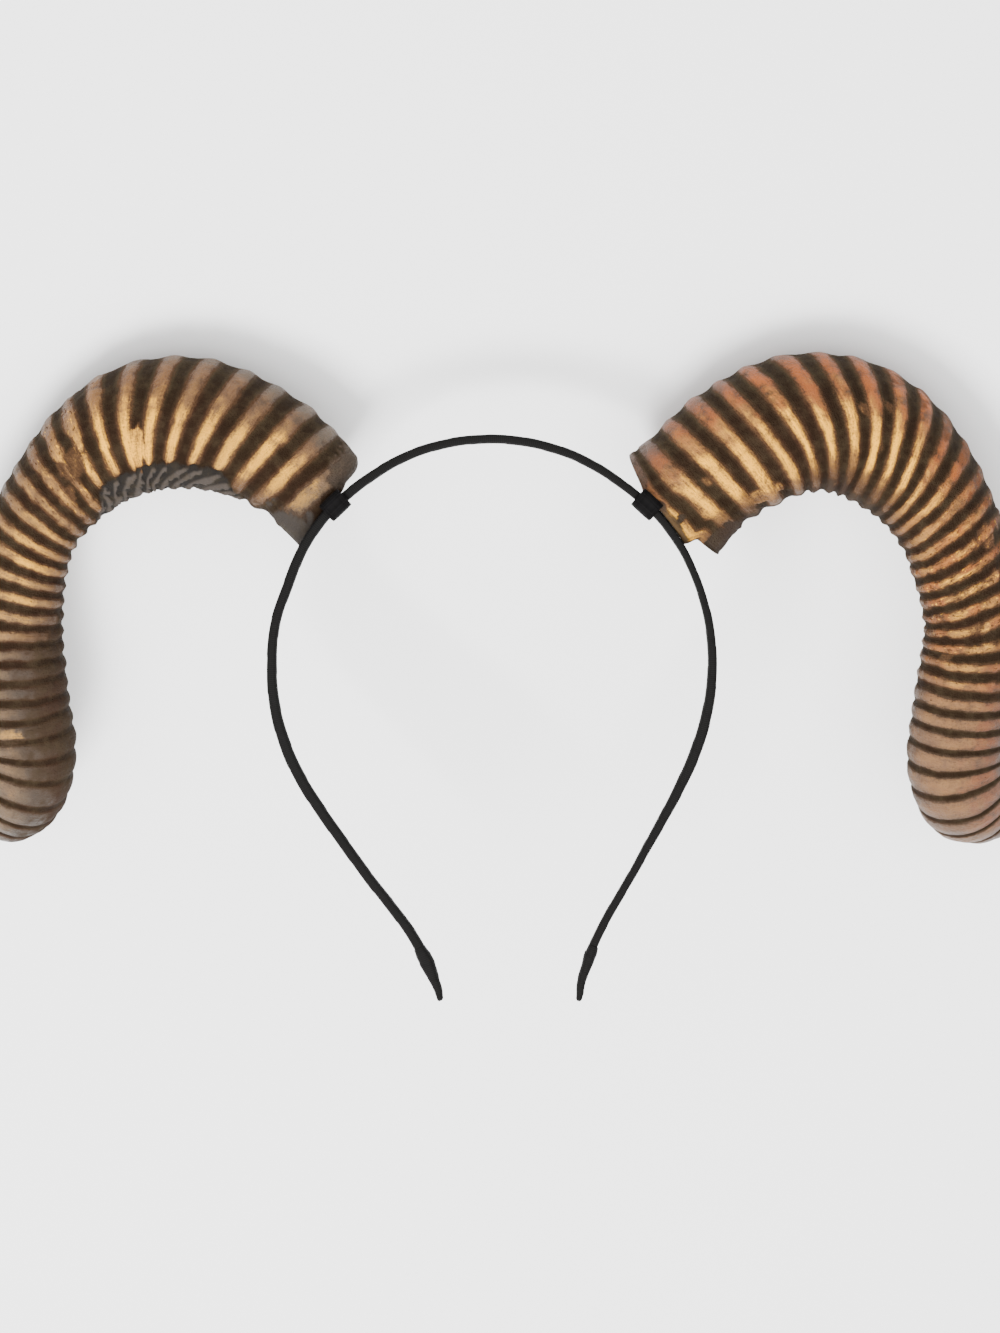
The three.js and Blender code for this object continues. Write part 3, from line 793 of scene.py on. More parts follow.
def inner_strip(name, along, fold, rough):
    """The bare strip that runs along the inner side of the left horn, and the seam beside it."""
    if name != "left":
        return np.zeros_like(along), np.zeros_like(along)
    window = step_between(along, 0.012, 0.03) * (1 - step_between(along, 0.074, 0.09))
    border = blend(184, 132, window) + rough * 2
    strip = step_between(fold, border - 1.5, border + 1.5)
    seam = np.exp(-(((fold - border) / 3.2) ** 2)) * window
    return strip, seam


def horn_values(name, pitch, count, along, angle):
    """The relief and the paint of a horn's skin, as arrays over its grid of points.

    The ribs follow the profile above over a count of ribs that wavers a little, and in patches more
    where the horn is chipped. Spots fill or fade them, the inner strip has slanting strands, and
    layered noise makes the casting uneven.
    """
    ribs = bpy.context.scene.headpiece_ribs
    seed = CASTING_SEEDS[name]
    fold = np.degrees(np.abs(np.arctan2(np.sin(angle), np.cos(angle))))
    turn = angle / FULL_TURN
    rough = layered_noise(along / 0.0022, turn * 40, 40, seed)
    broad = layered_noise(along / 0.012, turn * 9, 9, seed + 10, layers=2)
    table = columns(PAINT_ROWS[name], PAINT_COLUMNS)
    millimetres = along * 1000
    paint = {key: np.interp(millimetres, table["at"], table[key]) for key in PAINT_COLUMNS[1:]}
    spots = spot_masks(name, along, np.degrees(angle), rough)
    strip, seam = inner_strip(name, along, fold, rough)
    chipped = paint["flecks"]
    patch = value_noise(along / 0.0046, turn * 15, 15, seed + 50)
    wavering = count + 0.05 * broad + (0.01 + 0.05 * chipped) * rough + 0.09 * chipped**2 * patch
    width = paint["groove"] * (1 + 0.16 * value_noise(count * 2, turn * 16, 16, seed + 30))
    ridge = rib_profile(wavering, ribs.crest, width)
    level = 1 + 0.09 * value_noise(count * 1.7, turn * 7, 7, seed + 20)
    broken = layered_noise(count * 2.3, turn * 34, 34, seed + 40, layers=2)
    level = level + (0.03 + 0.42 * chipped**2) * np.minimum(broken, 0.25)
    ridge = ridge * level * (1 - 0.85 * spots["plain"])
    ridge = np.maximum(ridge, spots["fill"] * (0.86 + 0.1 * rough))
    ridge = blend(ridge, 0.55, 0.75 * spots["plain"])
    slant = (np.degrees(angle) % 360 - 150) / 26
    strands = 1.35 * wavering - 0.9 * slant + 0.3 * broad + 0.14 * rough
    lumps = ease(0.5 + 0.5 * np.cos(FULL_TURN * strands) + 0.3 * rough)
    ridge = blend(ridge, 0.1 + 0.62 * lumps + 0.06 * rough, strip)
    ridge = ridge - 0.6 * seam
    depth = ribs.relief * pitch * (1 - ridge) * (1 - 0.3 * step_between(fold, 70, 20))
    uneven = ribs.lumps * (0.5 * rough * (0.5 + chipped) + 0.8 * broad) + spots["swell"]
    return {
        "inset": depth - uneven,
        "fold": fold,
        "rough": rough,
        "ridge": ridge,
        "strip": strip,
        "patch": patch,
        **{f"spot_{kind}": mask for kind, mask in spots.items()},
        **paint,
    }


def paint_values(name, values, count):
    """The masks that a horn's paint follows, from 0 to 1 over its grid of points.

    Each rib shifts them by amounts of its own. The bare skin fades in more widely where the dust
    lies thick, and the flat base face is bare and plain.
    """
    ribs_drawn = np.random.default_rng(PAINT_SEEDS[name]).uniform(-1, 1, (int(np.ceil(count.max())) + 2, 3))
    index = np.clip(np.floor(count).astype(int) + 1, 0, len(ribs_drawn) - 1)
    lift = ribs_drawn[index]
    fold = values["fold"] + 5 * values["rough"] + 6 * lift[..., 0]
    copper = step_between(fold, values["copper_turn"] - 22, values["copper_turn"] + 10)
    gold = step_between(fold + 9 * values["rough"], values["gold_turn"] - 30, values["gold_turn"] + 20)
    gold = gold * (1 - 0.85 * values["flecks"] ** 2 * step_between(values["patch"], -0.1, 0.35))
    # Painted highlight: the pale gold gathers on the front of the ribs, a little towards the inner side.
    painted_highlight = np.exp(-(((fold - 104) / 30) ** 2))
    bright = np.clip(values["bright"] + 0.14 * lift[..., 1], 0, 1) * gold * (0.1 + 1.05 * painted_highlight)
    # Painted shade: the paint darkens towards the inner side, from a little before the bare skin.
    shade = step_between(fold, values["bare_turn"] - 26, values["bare_turn"] + 6)
    fading = 30 * step_between(values["dust"], 0.4, 0.8)
    worn_from = values["bare_turn"] - 6 - fading
    bare = step_between(fold + 6 * values["rough"], worn_from, values["bare_turn"] + 26 + fading)
    bare = np.maximum(bare * 0.9, np.maximum(values["spot_bare"], values["strip"]))
    bare = np.maximum(bare, values["base_face"])
    painted = values["spot_paint"]
    side = 1 - values["base_face"]
    stony = 0.8 * values["spot_bare"] + 0.12 * bare if name == "left" else 0.35 * bare
    return {
        "copper": copper,
        "gold": np.maximum(gold, painted * 0.7),
        "bright": np.clip(np.maximum(bright * (1 - shade), 0.8 * painted * painted_highlight), 0, 1.2),
        "shade": shade * (1 - painted),
        "bare": bare * (1 - painted),
        "dust": np.clip(values["dust"] + 0.55 * (1 - copper) + 0.08 * lift[..., 2], 0, 1),
        "flecks": values["flecks"] * (1 - values["strip"]) * side,
        "strip": np.clip(np.maximum(values["strip"], stony), 0, 1) * side,
        "outer": (1 - step_between(fold, 25, 75)) * side,
        "ridge": blend(0.15, values["ridge"], side),
    }


def horn_grid(name, band):
    """A horn's skin as rings of points from the middle of its base to its tip, and its paint.

    Flat rings fill the base, a quarter circle turns into the side, the side has a fixed number of
    rings for each rib, and a quarter circle rounds the tip.
    """
    sizes = bpy.context.scene.headpiece_horn
    ribs = bpy.context.scene.headpiece_ribs
    side = SIDES[name]
    line = HornLine(HORN_ROWS[name], sizes)
    first = ribs.left_start if side < 0 else ribs.right_start
    starts = rib_starts(ribs, first, line.length)
    numbers = np.arange(len(starts), dtype=float)
    rings_per_rib = 15
    around = 150
    side_end = line.length - sizes.tip
    span = np.interp([sizes.rim, side_end], starts, numbers)
    side_counts = np.linspace(span[0], span[1], int((span[1] - span[0]) * rings_per_rib))
    side_along = np.interp(side_counts, numbers, starts)
    rim_turn = np.linspace(0, math.pi / 2, 6)[:-1]
    tip_turn = np.linspace(0, math.pi / 2, 9)[1:-1]
    base_radius = line.radius(0.0)
    flat_shares = np.array([0.12, 0.3, 0.5, 0.7, 0.85, 0.95])
    ring_along = np.concatenate([
        np.zeros(len(flat_shares)),
        sizes.rim * (1 - np.cos(rim_turn)),
        side_along,
        side_end + sizes.tip * np.sin(tip_turn),
    ])
    flat_inset = base_radius - (base_radius - sizes.rim) * flat_shares
    tip_radius = line.radius(line.length) * 0.9
    extra = np.concatenate([
        flat_inset,
        sizes.rim * (1 - np.sin(rim_turn)),
        np.zeros(len(side_along)),
        tip_radius * (1 - np.cos(tip_turn)),
    ])
    angle = np.linspace(-FULL_TURN / 4, FULL_TURN * 3 / 4, around, endpoint=False)
    along, angles = np.meshgrid(ring_along, angle, indexing="ij")
    count = np.interp(along, starts, numbers)
    pitch = np.interp(along, starts, np.gradient(starts))
    values = horn_values(name, pitch, count, along, angles)
    relief = values["inset"] + values["spot_swell"]
    settled = step_between(along, 0, sizes.rim)
    shares = np.concatenate([flat_shares, np.ones(len(ring_along) - len(flat_shares))])[:, None]
    inset = relief * settled - values["spot_swell"] * shares + extra[:, None]
    if name == "left":
        into = np.clip(1 - along / sizes.left_shoulder, 0, 1)
        rounding = sizes.left_shoulder * 0.75 * (1 - np.sqrt(1 - into**2 * 0.98))
        inset = inset + rounding * (1 - step_between(values["fold"], 35, 90)) * shares
    values["base_face"] = np.broadcast_to(1 - step_between(shares, 0.95, 1), along.shape)
    points = line.skin(along, angles, inset)
    foot = base_foot(name, band, line, along, angles, values["fold"], shares)
    points = points - line.tangents[0] * foot[..., None]
    points[..., 0] *= side
    origin, turn = horn_place(band, line, side)
    skin_map = (ring_along, np.linspace(0, FULL_TURN * base_radius, around + 1))
    return points @ turn.T + origin, paint_values(name, values, count), skin_map


class Recipe:
    """A material's node tree, with short calls for the nodes that the finishes share."""

    def __init__(self, name):
        self.material = bpy.data.materials.new(name)
        self.material.use_nodes = True
        self.tree = self.material.node_tree
        self.shader = self.tree.nodes["Principled BSDF"]
        self.spot = self.add("ShaderNodeTexCoord").outputs["Object"]

    def add(self, kind, **settings):
        node = self.tree.nodes.new(kind)
        for setting, value in settings.items():
            setattr(node, setting, value)
        return node

    def feed(self, socket, value):
        """Links an output to a socket, or sets the socket to a plain value."""
        if isinstance(value, bpy.types.NodeSocket):
            self.tree.links.new(value, socket)
        elif socket.type == "RGBA":
            socket.default_value = (*value, 1)
        else:
            socket.default_value = value

    def value(self, name):
        return self.add("ShaderNodeAttribute", attribute_name=name).outputs["Fac"]

    def math(self, operation, first, second=0.0):
        node = self.add("ShaderNodeMath", operation=operation)
        self.feed(node.inputs[0], first)
        self.feed(node.inputs[1], second)
        return node.outputs[0]

    def times(self, first, second):
        return self.math("MULTIPLY", first, second)

    def stretched(self, spot, along, around):
        """A place on the weave, scaled apart along and round the piece."""
        node = self.add("ShaderNodeVectorMath", operation="MULTIPLY")
        self.feed(node.inputs[0], spot)
        node.inputs[1].default_value = (along, around, 1)
        return node.outputs[0]

    def sum(self, first, *others):
        for other in others:
            first = self.math("ADD", first, other)
        return first

    def about(self, noise, height):
        """A noise's departure from its middle, at the given height."""
        return self.times(self.math("SUBTRACT", noise, 0.5), height)

    def mix(self, share, first, second):
        node = self.add("ShaderNodeMix", data_type="RGBA")
        self.feed(node.inputs["Factor"], share)
        self.feed(node.inputs[6], first)
        self.feed(node.inputs[7], second)
        return node.outputs[2]

    def eased(self, value, low, high, to_low=0.0, to_high=1.0):
        node = self.add("ShaderNodeMapRange", interpolation_type="SMOOTHSTEP")
        self.feed(node.inputs["Value"], value)
        limits = {"From Min": low, "From Max": high, "To Min": to_low, "To Max": to_high}
        for socket, number in limits.items():
            self.feed(node.inputs[socket], number)
        return node.outputs["Result"]

    def noise(self, scale, detail=3.0, roughness=0.55, spot=None):
        node = self.add("ShaderNodeTexNoise")
        self.feed(node.inputs["Vector"], spot or self.spot)
        self.feed(node.inputs["Scale"], scale)
        self.feed(node.inputs["Detail"], detail)
        self.feed(node.inputs["Roughness"], roughness)
        return node.outputs["Fac"]

    def bump(self, height, depth):
        node = self.add("ShaderNodeBump")
        self.feed(node.inputs["Height"], height)
        self.feed(node.inputs["Distance"], depth)
        return node.outputs["Normal"]

    def finish(self, **sockets):
        for name, value in sockets.items():
            self.feed(self.shader.inputs[name.replace("_", " ")], value)
        return self.material


def horn_paint(name):
    """Dry-brushed paint: it takes on the ribs and leaves the grooves dark.

    The ribs' height, with grain and streaks along the ribs added, gives two coats: a thin one, from
    bronze to umber, which reaches further into the grooves, and the brighter coat over it, chipped
    and dotted with painted glints where the flecks are. The bright coat runs from dust over copper to
    gold and pale gold, the pale gold partly a painted highlight, and is tinted and smeared with the
    dull wash. Painted shade darkens it down the flanks of the ribs and towards the inner side, to
    bronze, and to a dark grey where the left horn is dusty.
    """
    left = name.endswith("left")
    finishes = bpy.context.scene.headpiece_finishes
    recipe = Recipe(name)
    grain = recipe.noise(1700, 4, 0.65)
    mottle = recipe.noise(260, 5, 0.65)
    wash = recipe.noise(75, 3, 0.5)
    along_ribs = recipe.add("ShaderNodeUVMap", uv_map="weave").outputs["UV"]
    streak = recipe.noise(1, 4, 0.65, recipe.stretched(along_ribs, 1700, 210))
    dash = recipe.noise(1, 2, 0.6, recipe.stretched(along_ribs, 1100, 420))
    ridge = recipe.value("ridge")
    flecks = recipe.value("flecks")
    dust = recipe.value("dust")

    brushed = recipe.sum(
        ridge, recipe.about(grain, 0.45), recipe.about(mottle, 0.4), recipe.about(streak, 0.6)
    )
    under = recipe.eased(brushed, 0.16, 0.45)
    over = recipe.eased(brushed, 0.33, 0.68)
    worn = recipe.eased(recipe.sum(recipe.value("bare"), recipe.about(mottle, 0.8)), 0.1, 0.9)
    kept = recipe.math("SUBTRACT", 1, recipe.times(worn, 0.96))
    chip_edge = recipe.math("SUBTRACT", 0.78, recipe.times(flecks, 0.2))
    chips = recipe.eased(recipe.math("SUBTRACT", dash, chip_edge), -0.03, 0.05)
    # Painted glints: small pale spots on the ribs, more of them where the flecks are.
    glint_edge = recipe.math("ADD", 0.14, recipe.times(flecks, 0.24))
    glints = recipe.eased(recipe.math("SUBTRACT", glint_edge, dash), -0.02, 0.03)
    glints = recipe.times(glints, recipe.eased(ridge, 0.15, 0.5))
    unchipped = recipe.math("SUBTRACT", 1, recipe.times(chips, 0.85))
    over = recipe.times(over, unchipped)
    over = recipe.math("MAXIMUM", over, recipe.times(glints, 0.8))
    over = recipe.times(over, kept)
    under = recipe.times(under, kept)

    skin = recipe.mix(recipe.eased(wash, 0.4, 0.62), finishes.skin, finishes.skin_warm)
    skin = recipe.mix(recipe.times(recipe.value("outer"), 0.6), skin, finishes.olive)
    # Painted shade: the skin darkens to the groove colour at the bottom of the grooves, further up where
    # the dust is thick.
    uneven = recipe.sum(ridge, recipe.about(mottle, 0.4))
    groove_shade_edge = recipe.sum(recipe.times(dust, 0.16), 0.18)
    groove_shade = recipe.eased(uneven, groove_shade_edge, -0.06, 0, 0.8)
    skin = recipe.mix(groove_shade, skin, finishes.groove)
    # Painted shade: the bare strip darkens in the hollows between its lumps.
    strip_hollow_shade = tuple(0.28 * channel for channel in finishes.stone)
    stone = recipe.mix(recipe.eased(ridge, 0.15, 0.65), strip_hollow_shade, finishes.stone)
    skin = recipe.mix(recipe.value("strip"), skin, stone)
    skin = recipe.mix(recipe.eased(mottle, 0.42, 0.7, 0, 0.3), skin, finishes.olive)
    first = finishes.ochre if left else finishes.copper
    copper = recipe.mix(recipe.eased(mottle, 0.3, 0.55), finishes.bronze, first)
    golden = recipe.times(recipe.value("gold"), recipe.eased(mottle, 0.25, 0.55, 0.45, 1))
    paint = recipe.mix(golden, copper, finishes.gold)
    # The pale gold keeps to the crests of the ribs: partly the dry brush's palest paint, partly a painted
    # highlight.
    pale_crest_and_highlight = recipe.eased(brushed, 0.5, 0.98, 0.04, 1)
    pale = recipe.sum(
        recipe.value("bright"),
        recipe.about(mottle, 0.8),
        recipe.about(streak, 0.9),
        recipe.about(grain, 0.4),
    )
    pale = recipe.times(recipe.eased(pale, 0.15, 0.9), pale_crest_and_highlight)
    pale = recipe.math("MAXIMUM", pale, recipe.times(glints, 0.9))
    paint = recipe.mix(pale, paint, finishes.pale_gold_and_highlight)
    # Painted shade: the paint darkens to umber down the flanks of each rib, towards the grooves.
    flank = recipe.eased(brushed, 0.36, 0.98, 0.85, 0)
    umber = recipe.mix(recipe.eased(dust, 0.4, 0.8), finishes.bronze, finishes.umber)
    dusty = recipe.times(dust, recipe.eased(wash, 0.25, 0.7, 0.75, 1))
    paint = recipe.mix(dusty, paint, finishes.ash if left else finishes.dust)
    # Painted shade towards the inner side: the paint darkens to bronze, and on the left's dusty curl to a
    # dark grey.
    inner_shade_grey = tuple(0.5 * channel for channel in finishes.stone)
    inner_shade_grey_share = recipe.eased(dust, 0.5, 0.8) if left else 0.0
    shaded = recipe.mix(inner_shade_grey_share, finishes.bronze, inner_shade_grey)
    paint = recipe.mix(recipe.times(recipe.value("shade"), 0.85), paint, shaded)
    thin = recipe.eased(recipe.sum(streak, recipe.about(grain, 1)), 0.55, 0.15, 0, 0.45)
    smear = recipe.eased(recipe.sum(wash, recipe.about(streak, 0.9)), 0.42, 0.7)
    smeared = recipe.times(recipe.times(smear, dust), 0.5)
    paint = recipe.mix(recipe.math("MAXIMUM", thin, smeared), paint, umber)
    paint = recipe.mix(flank, paint, umber)
    colour = recipe.mix(recipe.times(under, 0.8), skin, umber)
    colour = recipe.mix(over, colour, paint)

    dull = recipe.times(recipe.math("SUBTRACT", 1, recipe.times(dusty, 0.8)), 0.6)
    relief = recipe.sum(
        recipe.times(grain, 1.1),
        recipe.times(mottle, 1.4),
        recipe.times(streak, 0.9),
        recipe.times(over, 0.2),
    )
    return recipe.finish(
        Base_Color=colour,
        Metallic=recipe.times(over, dull),
        Roughness=recipe.eased(over, 0, 1, 0.8, 0.45),
        Specular_IOR_Level=recipe.eased(over, 0, 1, 0.06, 0.2),
        Normal=recipe.bump(relief, 0.0004),
    )


def fabric(name):
    """Black cloth: fine ribs across the tape, crossed by warp threads, with a painted sheen."""
    if name in bpy.data.materials:
        return bpy.data.materials[name]
    thread, twill = CLOTHS[name]
    finishes = bpy.context.scene.headpiece_finishes
    recipe = Recipe(name)
    weave = recipe.add("ShaderNodeUVMap", uv_map="weave").outputs["UV"]
    split = recipe.add("ShaderNodeSeparateXYZ")
    recipe.feed(split.inputs[0], weave)
    waves = []
    for length, spacing in ((split.outputs["X"], thread), (split.outputs["Y"], thread * 0.8)):
        turns = recipe.times(length, FULL_TURN / spacing)
        waves.append(recipe.times(recipe.math("SINE", turns), 0.5))
    weft, warp = waves
    threads = recipe.math("ADD", weft, recipe.times(warp, twill))
    fuzz = recipe.noise(2600, 2, 0.6)
    height = recipe.math("ADD", threads, recipe.times(fuzz, 0.8))
    cloth = finishes.webbing if name == "Webbing" else finishes.fabric
    # Painted sheen: the raised threads are painted paler than the black cloth.
    pale = tuple(1.9 * channel for channel in cloth)
    shade = recipe.eased(height, -0.3, 1.1)
    return recipe.finish(
        Base_Color=recipe.mix(shade, cloth, pale),
        Roughness=recipe.eased(fuzz, 0.3, 0.7, 0.62, 0.82),
        Specular_IOR_Level=0.035,
        Normal=recipe.bump(height, 0.00006),
    )


def rounded_section(angle, half_thick, half_wide, squareness=4.0):
    """A superellipse: across and forward at angles round it, squarer as the power rises."""
    cosine, sine = np.cos(angle), np.sin(angle)
    power = 2 / squareness
    across = half_thick * np.sign(cosine) * np.abs(cosine) ** power
    forward = half_wide * np.sign(sine) * np.abs(sine) ** power
    return across, forward


def add_ribbon(lying, band):
    """The band under its ribbon, which is wound round it in lapping turns.

    The section is a superellipse carried along the middle line. Each turn of the ribbon rises by
    its edge and sinks evenly until the next laps over it, along a helix.
    """
    sizes = bpy.context.scene.headpiece_band
    bare_end = sizes.wrap_length - sizes.ribbon_tuck
    start, end = bare_end - band.crown, band.total - band.crown - bare_end
    rings, sides = 1100, 40
    along = np.linspace(start, end, rings)
    angle = np.linspace(0, FULL_TURN, sides, endpoint=False)
    at, angles = np.meshgrid(along, angle, indexing="ij")
    lap = (at / sizes.ribbon_pitch + angles / FULL_TURN) % 1
    raised = 1 - lap + step_between(lap, 0.93, 1)
    drift = layered_noise(at / 0.02, angles / FULL_TURN * 5, 5, 71, layers=2)
    swell = sizes.ribbon_edge * (raised - 0.5 + 0.45 * drift)
    across, forward = rounded_section(angles, band.half(1, at), sizes.width / 2)
    lengthen = 1 + swell / np.hypot(across, forward)
    place, _, outward = band.station(1, at)
    points = place + outward * (across * lengthen)[..., None]
    points = points + VIEWERWARD * (forward * lengthen)[..., None]
    rim = 2 * (sizes.thickness + sizes.width)
    around = np.linspace(0, rim, sides + 1)
    grid = lying.place(points).reshape(rings, sides, 3)
    piece = lofted_piece("headband_ribbon", grid, (along, around))
    seat(piece, "headband", fabric("Satin ribbon"))


def smoothed(values, reach):
    """Values averaged with their neighbours out to a reach, the nearest counting most."""
    window = np.hanning(2 * reach + 1)
    return np.convolve(np.pad(values, reach, mode="edge"), window / window.sum(), "valid")


def add_end_wrap(name, lying, band):
    """The ribbon folded over a tip of the band and wound tight.

    Its section follows its table, smoothed along its length, and ends in a quarter round. Slanting
    turns of ribbon stand a little proud of each other.
    """
    sizes = bpy.context.scene.headpiece_band
    side = SIDES[name]
    table = columns(WRAP_ROWS[name], WRAP_COLUMNS)
    rings, end_rings, sides = 150, 14, 48
    round_end = 0.05
    straight = 1 - round_end
    shares = np.concatenate([
        np.linspace(0, straight, rings - end_rings),
        straight + round_end * np.sin(np.linspace(0.11, 1.53, end_rings)),
    ])
    outer, inner, broad = (
        smoothed(np.interp(shares, table["at"], table[column] / 1000), 5)
        for column in ("outer", "inner", "broad")
    )
    closing = np.sqrt(1 - (np.clip(shares - straight, 0, round_end) / 0.0501) ** 2)
    closing = 0.25 + 0.75 * closing
    angle = np.linspace(0, FULL_TURN, sides, endpoint=False)
    share, angles = np.meshgrid(shares, angle, indexing="ij")
    at = band.arm(side) - sizes.wrap_length * (1 - share)
    lap = (share * 3.6 + side * angles / FULL_TURN) % 1
    swell = 0.0001 * (1 - lap + step_between(lap, 0.9, 1) - 0.5)
    swell = swell + 0.0001 * layered_noise(share * 7, angles / FULL_TURN * 6, 6, 83, layers=2)
    swell = swell * step_between(share, 0, 0.04)
    half = (outer + inner) / 2 * closing
    across, forward = rounded_section(angles, half[:, None], (broad * closing)[:, None], 3)
    lengthen = 1 + swell / np.maximum(np.hypot(across, forward), 0.0005)
    middle = (outer - inner) / 2
    place, _, outward = band.station(side, at)
    points = place + outward * (middle[:, None] + across * lengthen)[..., None]
    points = points + VIEWERWARD * (forward * lengthen)[..., None]
    around = np.linspace(0, 4 * (half.max() + broad.max()), sides + 1)
    grid = lying.place(points).reshape(rings, sides, 3)
    piece = lofted_piece(f"end_wrap_{name}_ribbon", grid, (shares * sizes.wrap_length, around))
    seat(piece, f"end_wrap_{name}", fabric("Satin ribbon"))


def add_loop(name, lying, band):
    """A strip of webbing sewn round the band, as a ring of cloth seen as one closed body.

    The strip's outline, a rounded oblong, runs round the band, and its wall is carried round that
    outline with soft edges. Two rows of stitches sink into it near its edges.
    """
    sizes = bpy.context.scene.headpiece_band
    side = SIDES[name]
    place, tipward, outward = (v.reshape(3) for v in band.station(side, [sizes.loop_from_crown]))
    half_thick = sizes.thickness / 2 + sizes.play + sizes.loop_wall / 2
    half_wide = sizes.width / 2 + sizes.play + sizes.loop_wall / 2
    round_steps, wall_steps = 144, 40
    turn = np.linspace(0, FULL_TURN, round_steps, endpoint=False)
    wall = np.linspace(0, FULL_TURN, wall_steps, endpoint=False)
    turns, walls = np.meshgrid(turn, wall, indexing="ij")
    across, forward = rounded_section(turns, half_thick, half_wide, 5.0)
    outline = np.stack([across, forward], axis=-1)
    tangent = unit(np.roll(outline, -1, axis=0) - np.roll(outline, 1, axis=0))
    normal = np.stack([tangent[..., 1], -tangent[..., 0]], axis=-1)
    through, width = rounded_section(walls, sizes.loop_wall / 2, sizes.loop_length / 2, 6.0)
    stitch_row = np.exp(-(((np.abs(width) - sizes.loop_length * 0.38) / 0.0003) ** 2))
    stitches = 16
    stitch = np.maximum(0, np.cos(stitches * turns))
    outside = step_between(through, 0, sizes.loop_wall * 0.3)
    sunk = 0.00022 * stitch_row * (1 - stitch) * outside
    edge_wave = 0.00012 * value_noise(turns / FULL_TURN * 12, walls / FULL_TURN * 4, 4, 91)
    proud = through - sunk
    local_out = across + normal[..., 0] * proud
    local_front = forward + normal[..., 1] * proud
    points = (
        place
        + outward * local_out[..., None]
        + VIEWERWARD * local_front[..., None]
        + tipward * (width + edge_wave)[..., None]
    )
    weave = (
        np.linspace(0, 4 * (half_thick + half_wide), round_steps + 1),
        np.linspace(0, 2 * sizes.loop_length, wall_steps + 1),
    )
    grid = lying.place(points).reshape(round_steps, wall_steps, 3)
    piece = ring_piece(f"strap_loop_{name}_webbing", grid, weave)
    seat(piece, f"strap_loop_{name}", fabric("Webbing"))


def ring_piece(name, grid, weave):
    """A closed ring: its points go round in both directions, so that it has no ends."""
    steps, walls, _ = grid.shape
    step_at, wall_at = face_corners(steps, walls)
    quads = step_at % steps * walls + wall_at % walls
    points = grid.reshape(-1, 3)
    if signed_volume(points, np.concatenate([quads[:, [0, 1, 2]], quads[:, [0, 2, 3]]])) < 0:
        quads, step_at, wall_at = (corners[:, ::-1] for corners in (quads, step_at, wall_at))
    mesh = bpy.data.meshes.new(name)
    mesh.from_pydata(points.tolist(), [], quads.tolist())
    mesh.polygons.foreach_set("use_smooth", np.ones(len(quads), bool))
    set_weave(mesh, weave, step_at, wall_at)
    piece = bpy.data.objects.new(name, mesh)
    bpy.context.scene.collection.objects.link(piece)
    return piece


def add_horn(name, lying, band):
    """One horn's ribbed, painted skin."""
    points, paint, skin_map = horn_grid(name, band)
    rings, sides, _ = points.shape
    grid = lying.place(points).reshape(rings, sides, 3)
    piece = lofted_piece(f"horn_{name}_skin", grid, skin_map)
    for mask, values in paint.items():
        set_values(piece, mask, values)
    seat(piece, f"horn_{name}", horn_paint(f"Brushed horn {name}"))


class HEADPIECE_OT_band(bpy.types.Operator):
    """Make the ribbon-covered band and its two wrapped tips"""

    bl_idname = "headpiece.band"
    bl_label = "Band and Wrapped Tips"

    def execute(self, context):
        lying, band = laid_band()
        add_ribbon(lying, band)
        for name in SIDES:
            add_end_wrap(name, lying, band)
        return {"FINISHED"}


class HEADPIECE_OT_loops(bpy.types.Operator):
    """Make the two fabric loops that hold the horns to the band"""

    bl_idname = "headpiece.loops"
    bl_label = "Fabric Loops"

    def execute(self, context):
        lying, band = laid_band()
        for name in SIDES:
            add_loop(name, lying, band)
        return {"FINISHED"}


class HEADPIECE_OT_horns(bpy.types.Operator):
    """Make the two curled horns with their ribs and paint"""

    bl_idname = "headpiece.horns"
    bl_label = "Horns"

    def execute(self, context):
        lying, band = laid_band()
        for name in SIDES:
            add_horn(name, lying, band)
        return {"FINISHED"}


class HEADPIECE_OT_stage(bpy.types.Operator):
    """Make the pale floor, the soft light and the camera"""

    bl_idname = "headpiece.stage"
    bl_label = "Floor, Light and Camera"

    def execute(self, context):
        add_floor()
        add_lights()
        add_camera(laid_band()[0])
        return {"FINISHED"}


def add_floor():
    """A wide pale floor under the headpiece, faintly uneven in tone."""
    reach = 4.0
    mesh = bpy.data.meshes.new("floor")
    corners = [(-reach, -reach, 0), (reach, -reach, 0), (reach, reach, 0), (-reach, reach, 0)]
    mesh.from_pydata(corners, [], [(0, 1, 2, 3)])
    floor = bpy.data.objects.new("floor", mesh)
    bpy.context.scene.collection.objects.link(floor)
    recipe = Recipe("Pale floor")
    pale = bpy.context.scene.headpiece_finishes.floor
    shade = tuple(0.985 * channel for channel in pale)
    mesh.materials.append(
        recipe.finish(Base_Color=recipe.mix(recipe.noise(6, 2), pale, shade), Roughness=0.85)
    )


def add_lights():
    """A key lamp at the picture's lower left, a large soft one overhead, and an even sky."""
    stage = bpy.context.scene.headpiece_stage
    lamps = (
        ("Key lamp", (-0.3, -0.3, 1.2), 0.45, stage.key_power),
        ("Overhead lamp", (0, 0.1, 1.6), 2.4, stage.overhead_power),
    )
    for name, place, size, power in lamps:
        light = bpy.data.lights.new(name, "AREA")
        light.shape = "SQUARE"
        light.size = size
        light.energy = power
        lamp = bpy.data.objects.new(name, light)
        lamp.location = place
        lamp.rotation_euler = (-Vector(place)).to_track_quat("-Z", "Y").to_euler()
        bpy.context.scene.collection.objects.link(lamp)
    world = bpy.data.worlds.new("Soft studio")
    world.use_nodes = True
    background = world.node_tree.nodes["Background"]
    background.inputs["Color"].default_value = (1, 1, 1, 1)
    background.inputs["Strength"].default_value = stage.sky
    bpy.context.scene.world = world


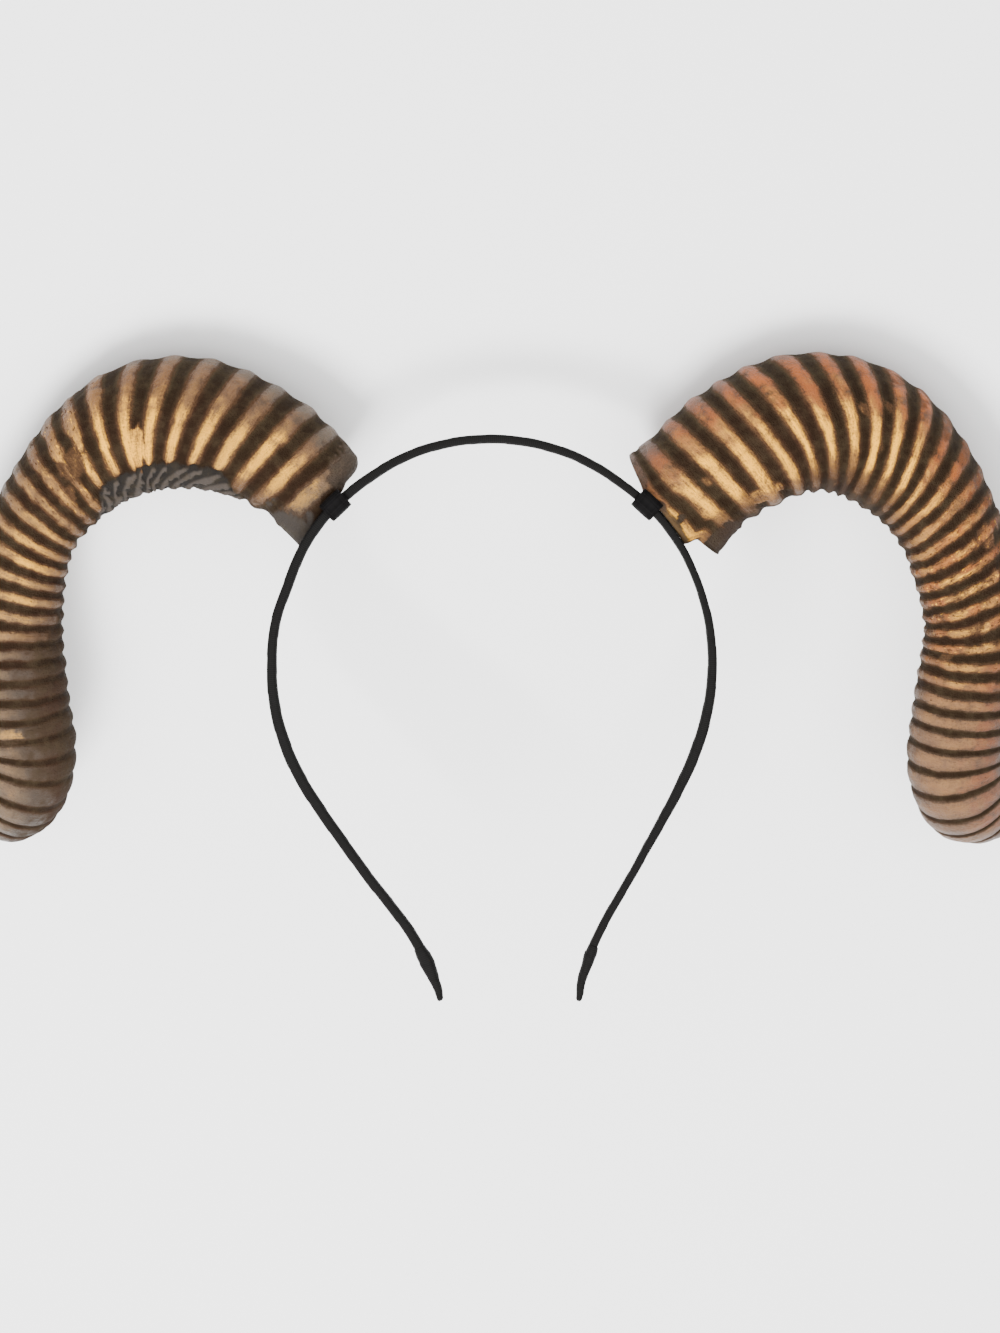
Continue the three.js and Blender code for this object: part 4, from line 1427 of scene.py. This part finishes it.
def add_camera(lying):
    """The camera looks square at the band's plane, with the crown at the picture's top."""
    stage = bpy.context.scene.headpiece_stage
    camera = bpy.data.cameras.new("Camera")
    camera.sensor_fit = "VERTICAL"
    camera.sensor_height = 36
    camera.lens = camera.sensor_height * stage.camera_distance / stage.picture_height
    eye = np.array([stage.aim_right, -stage.aim_down, stage.camera_distance])
    viewer = bpy.data.objects.new("Camera", camera)
    viewer.matrix_world = Matrix.Translation(lying.place(eye)[0]) @ Matrix(lying.turn).to_4x4()
    bpy.context.scene.collection.objects.link(viewer)
    bpy.context.scene.camera = viewer


class HEADPIECE_PT_sidebar(bpy.types.Panel):
    """Lists the headpiece's sizes, colours and pieces"""

    bl_idname = "HEADPIECE_PT_sidebar"
    bl_label = "Ram Horns Headband"
    bl_space_type = "VIEW_3D"
    bl_region_type = "UI"
    bl_category = "Headpiece"

    def draw(self, context):
        layout = self.layout
        for attribute, group in SETTINGS.items():
            box = layout.box()
            settings = getattr(context.scene, attribute)
            for prop in group.bl_rna.properties:
                if prop.identifier not in {"rna_type", "name"}:
                    box.prop(settings, prop.identifier)
        for operator in OPERATORS:
            layout.operator(operator.bl_idname)


SETTINGS = {
    "headpiece_band": BandSizes,
    "headpiece_horn": HornSizes,
    "headpiece_ribs": RibSizes,
    "headpiece_finishes": Finishes,
    "headpiece_stage": StageSizes,
}
OPERATORS = (HEADPIECE_OT_stage, HEADPIECE_OT_band, HEADPIECE_OT_loops, HEADPIECE_OT_horns)


def register():
    for group in SETTINGS.values():
        bpy.utils.register_class(group)
    for attribute, group in SETTINGS.items():
        setattr(bpy.types.Scene, attribute, bpy.props.PointerProperty(type=group))
    for operator in OPERATORS:
        bpy.utils.register_class(operator)
    bpy.utils.register_class(HEADPIECE_PT_sidebar)


def unregister():
    bpy.utils.unregister_class(HEADPIECE_PT_sidebar)
    for operator in reversed(OPERATORS):
        bpy.utils.unregister_class(operator)
    for attribute in SETTINGS:
        delattr(bpy.types.Scene, attribute)
    for group in reversed(SETTINGS.values()):
        bpy.utils.unregister_class(group)


def main():
    register()
    bpy.ops.headpiece.stage()
    bpy.ops.headpiece.band()
    bpy.ops.headpiece.loops()
    bpy.ops.headpiece.horns()


if __name__ == "__main__":
    main()
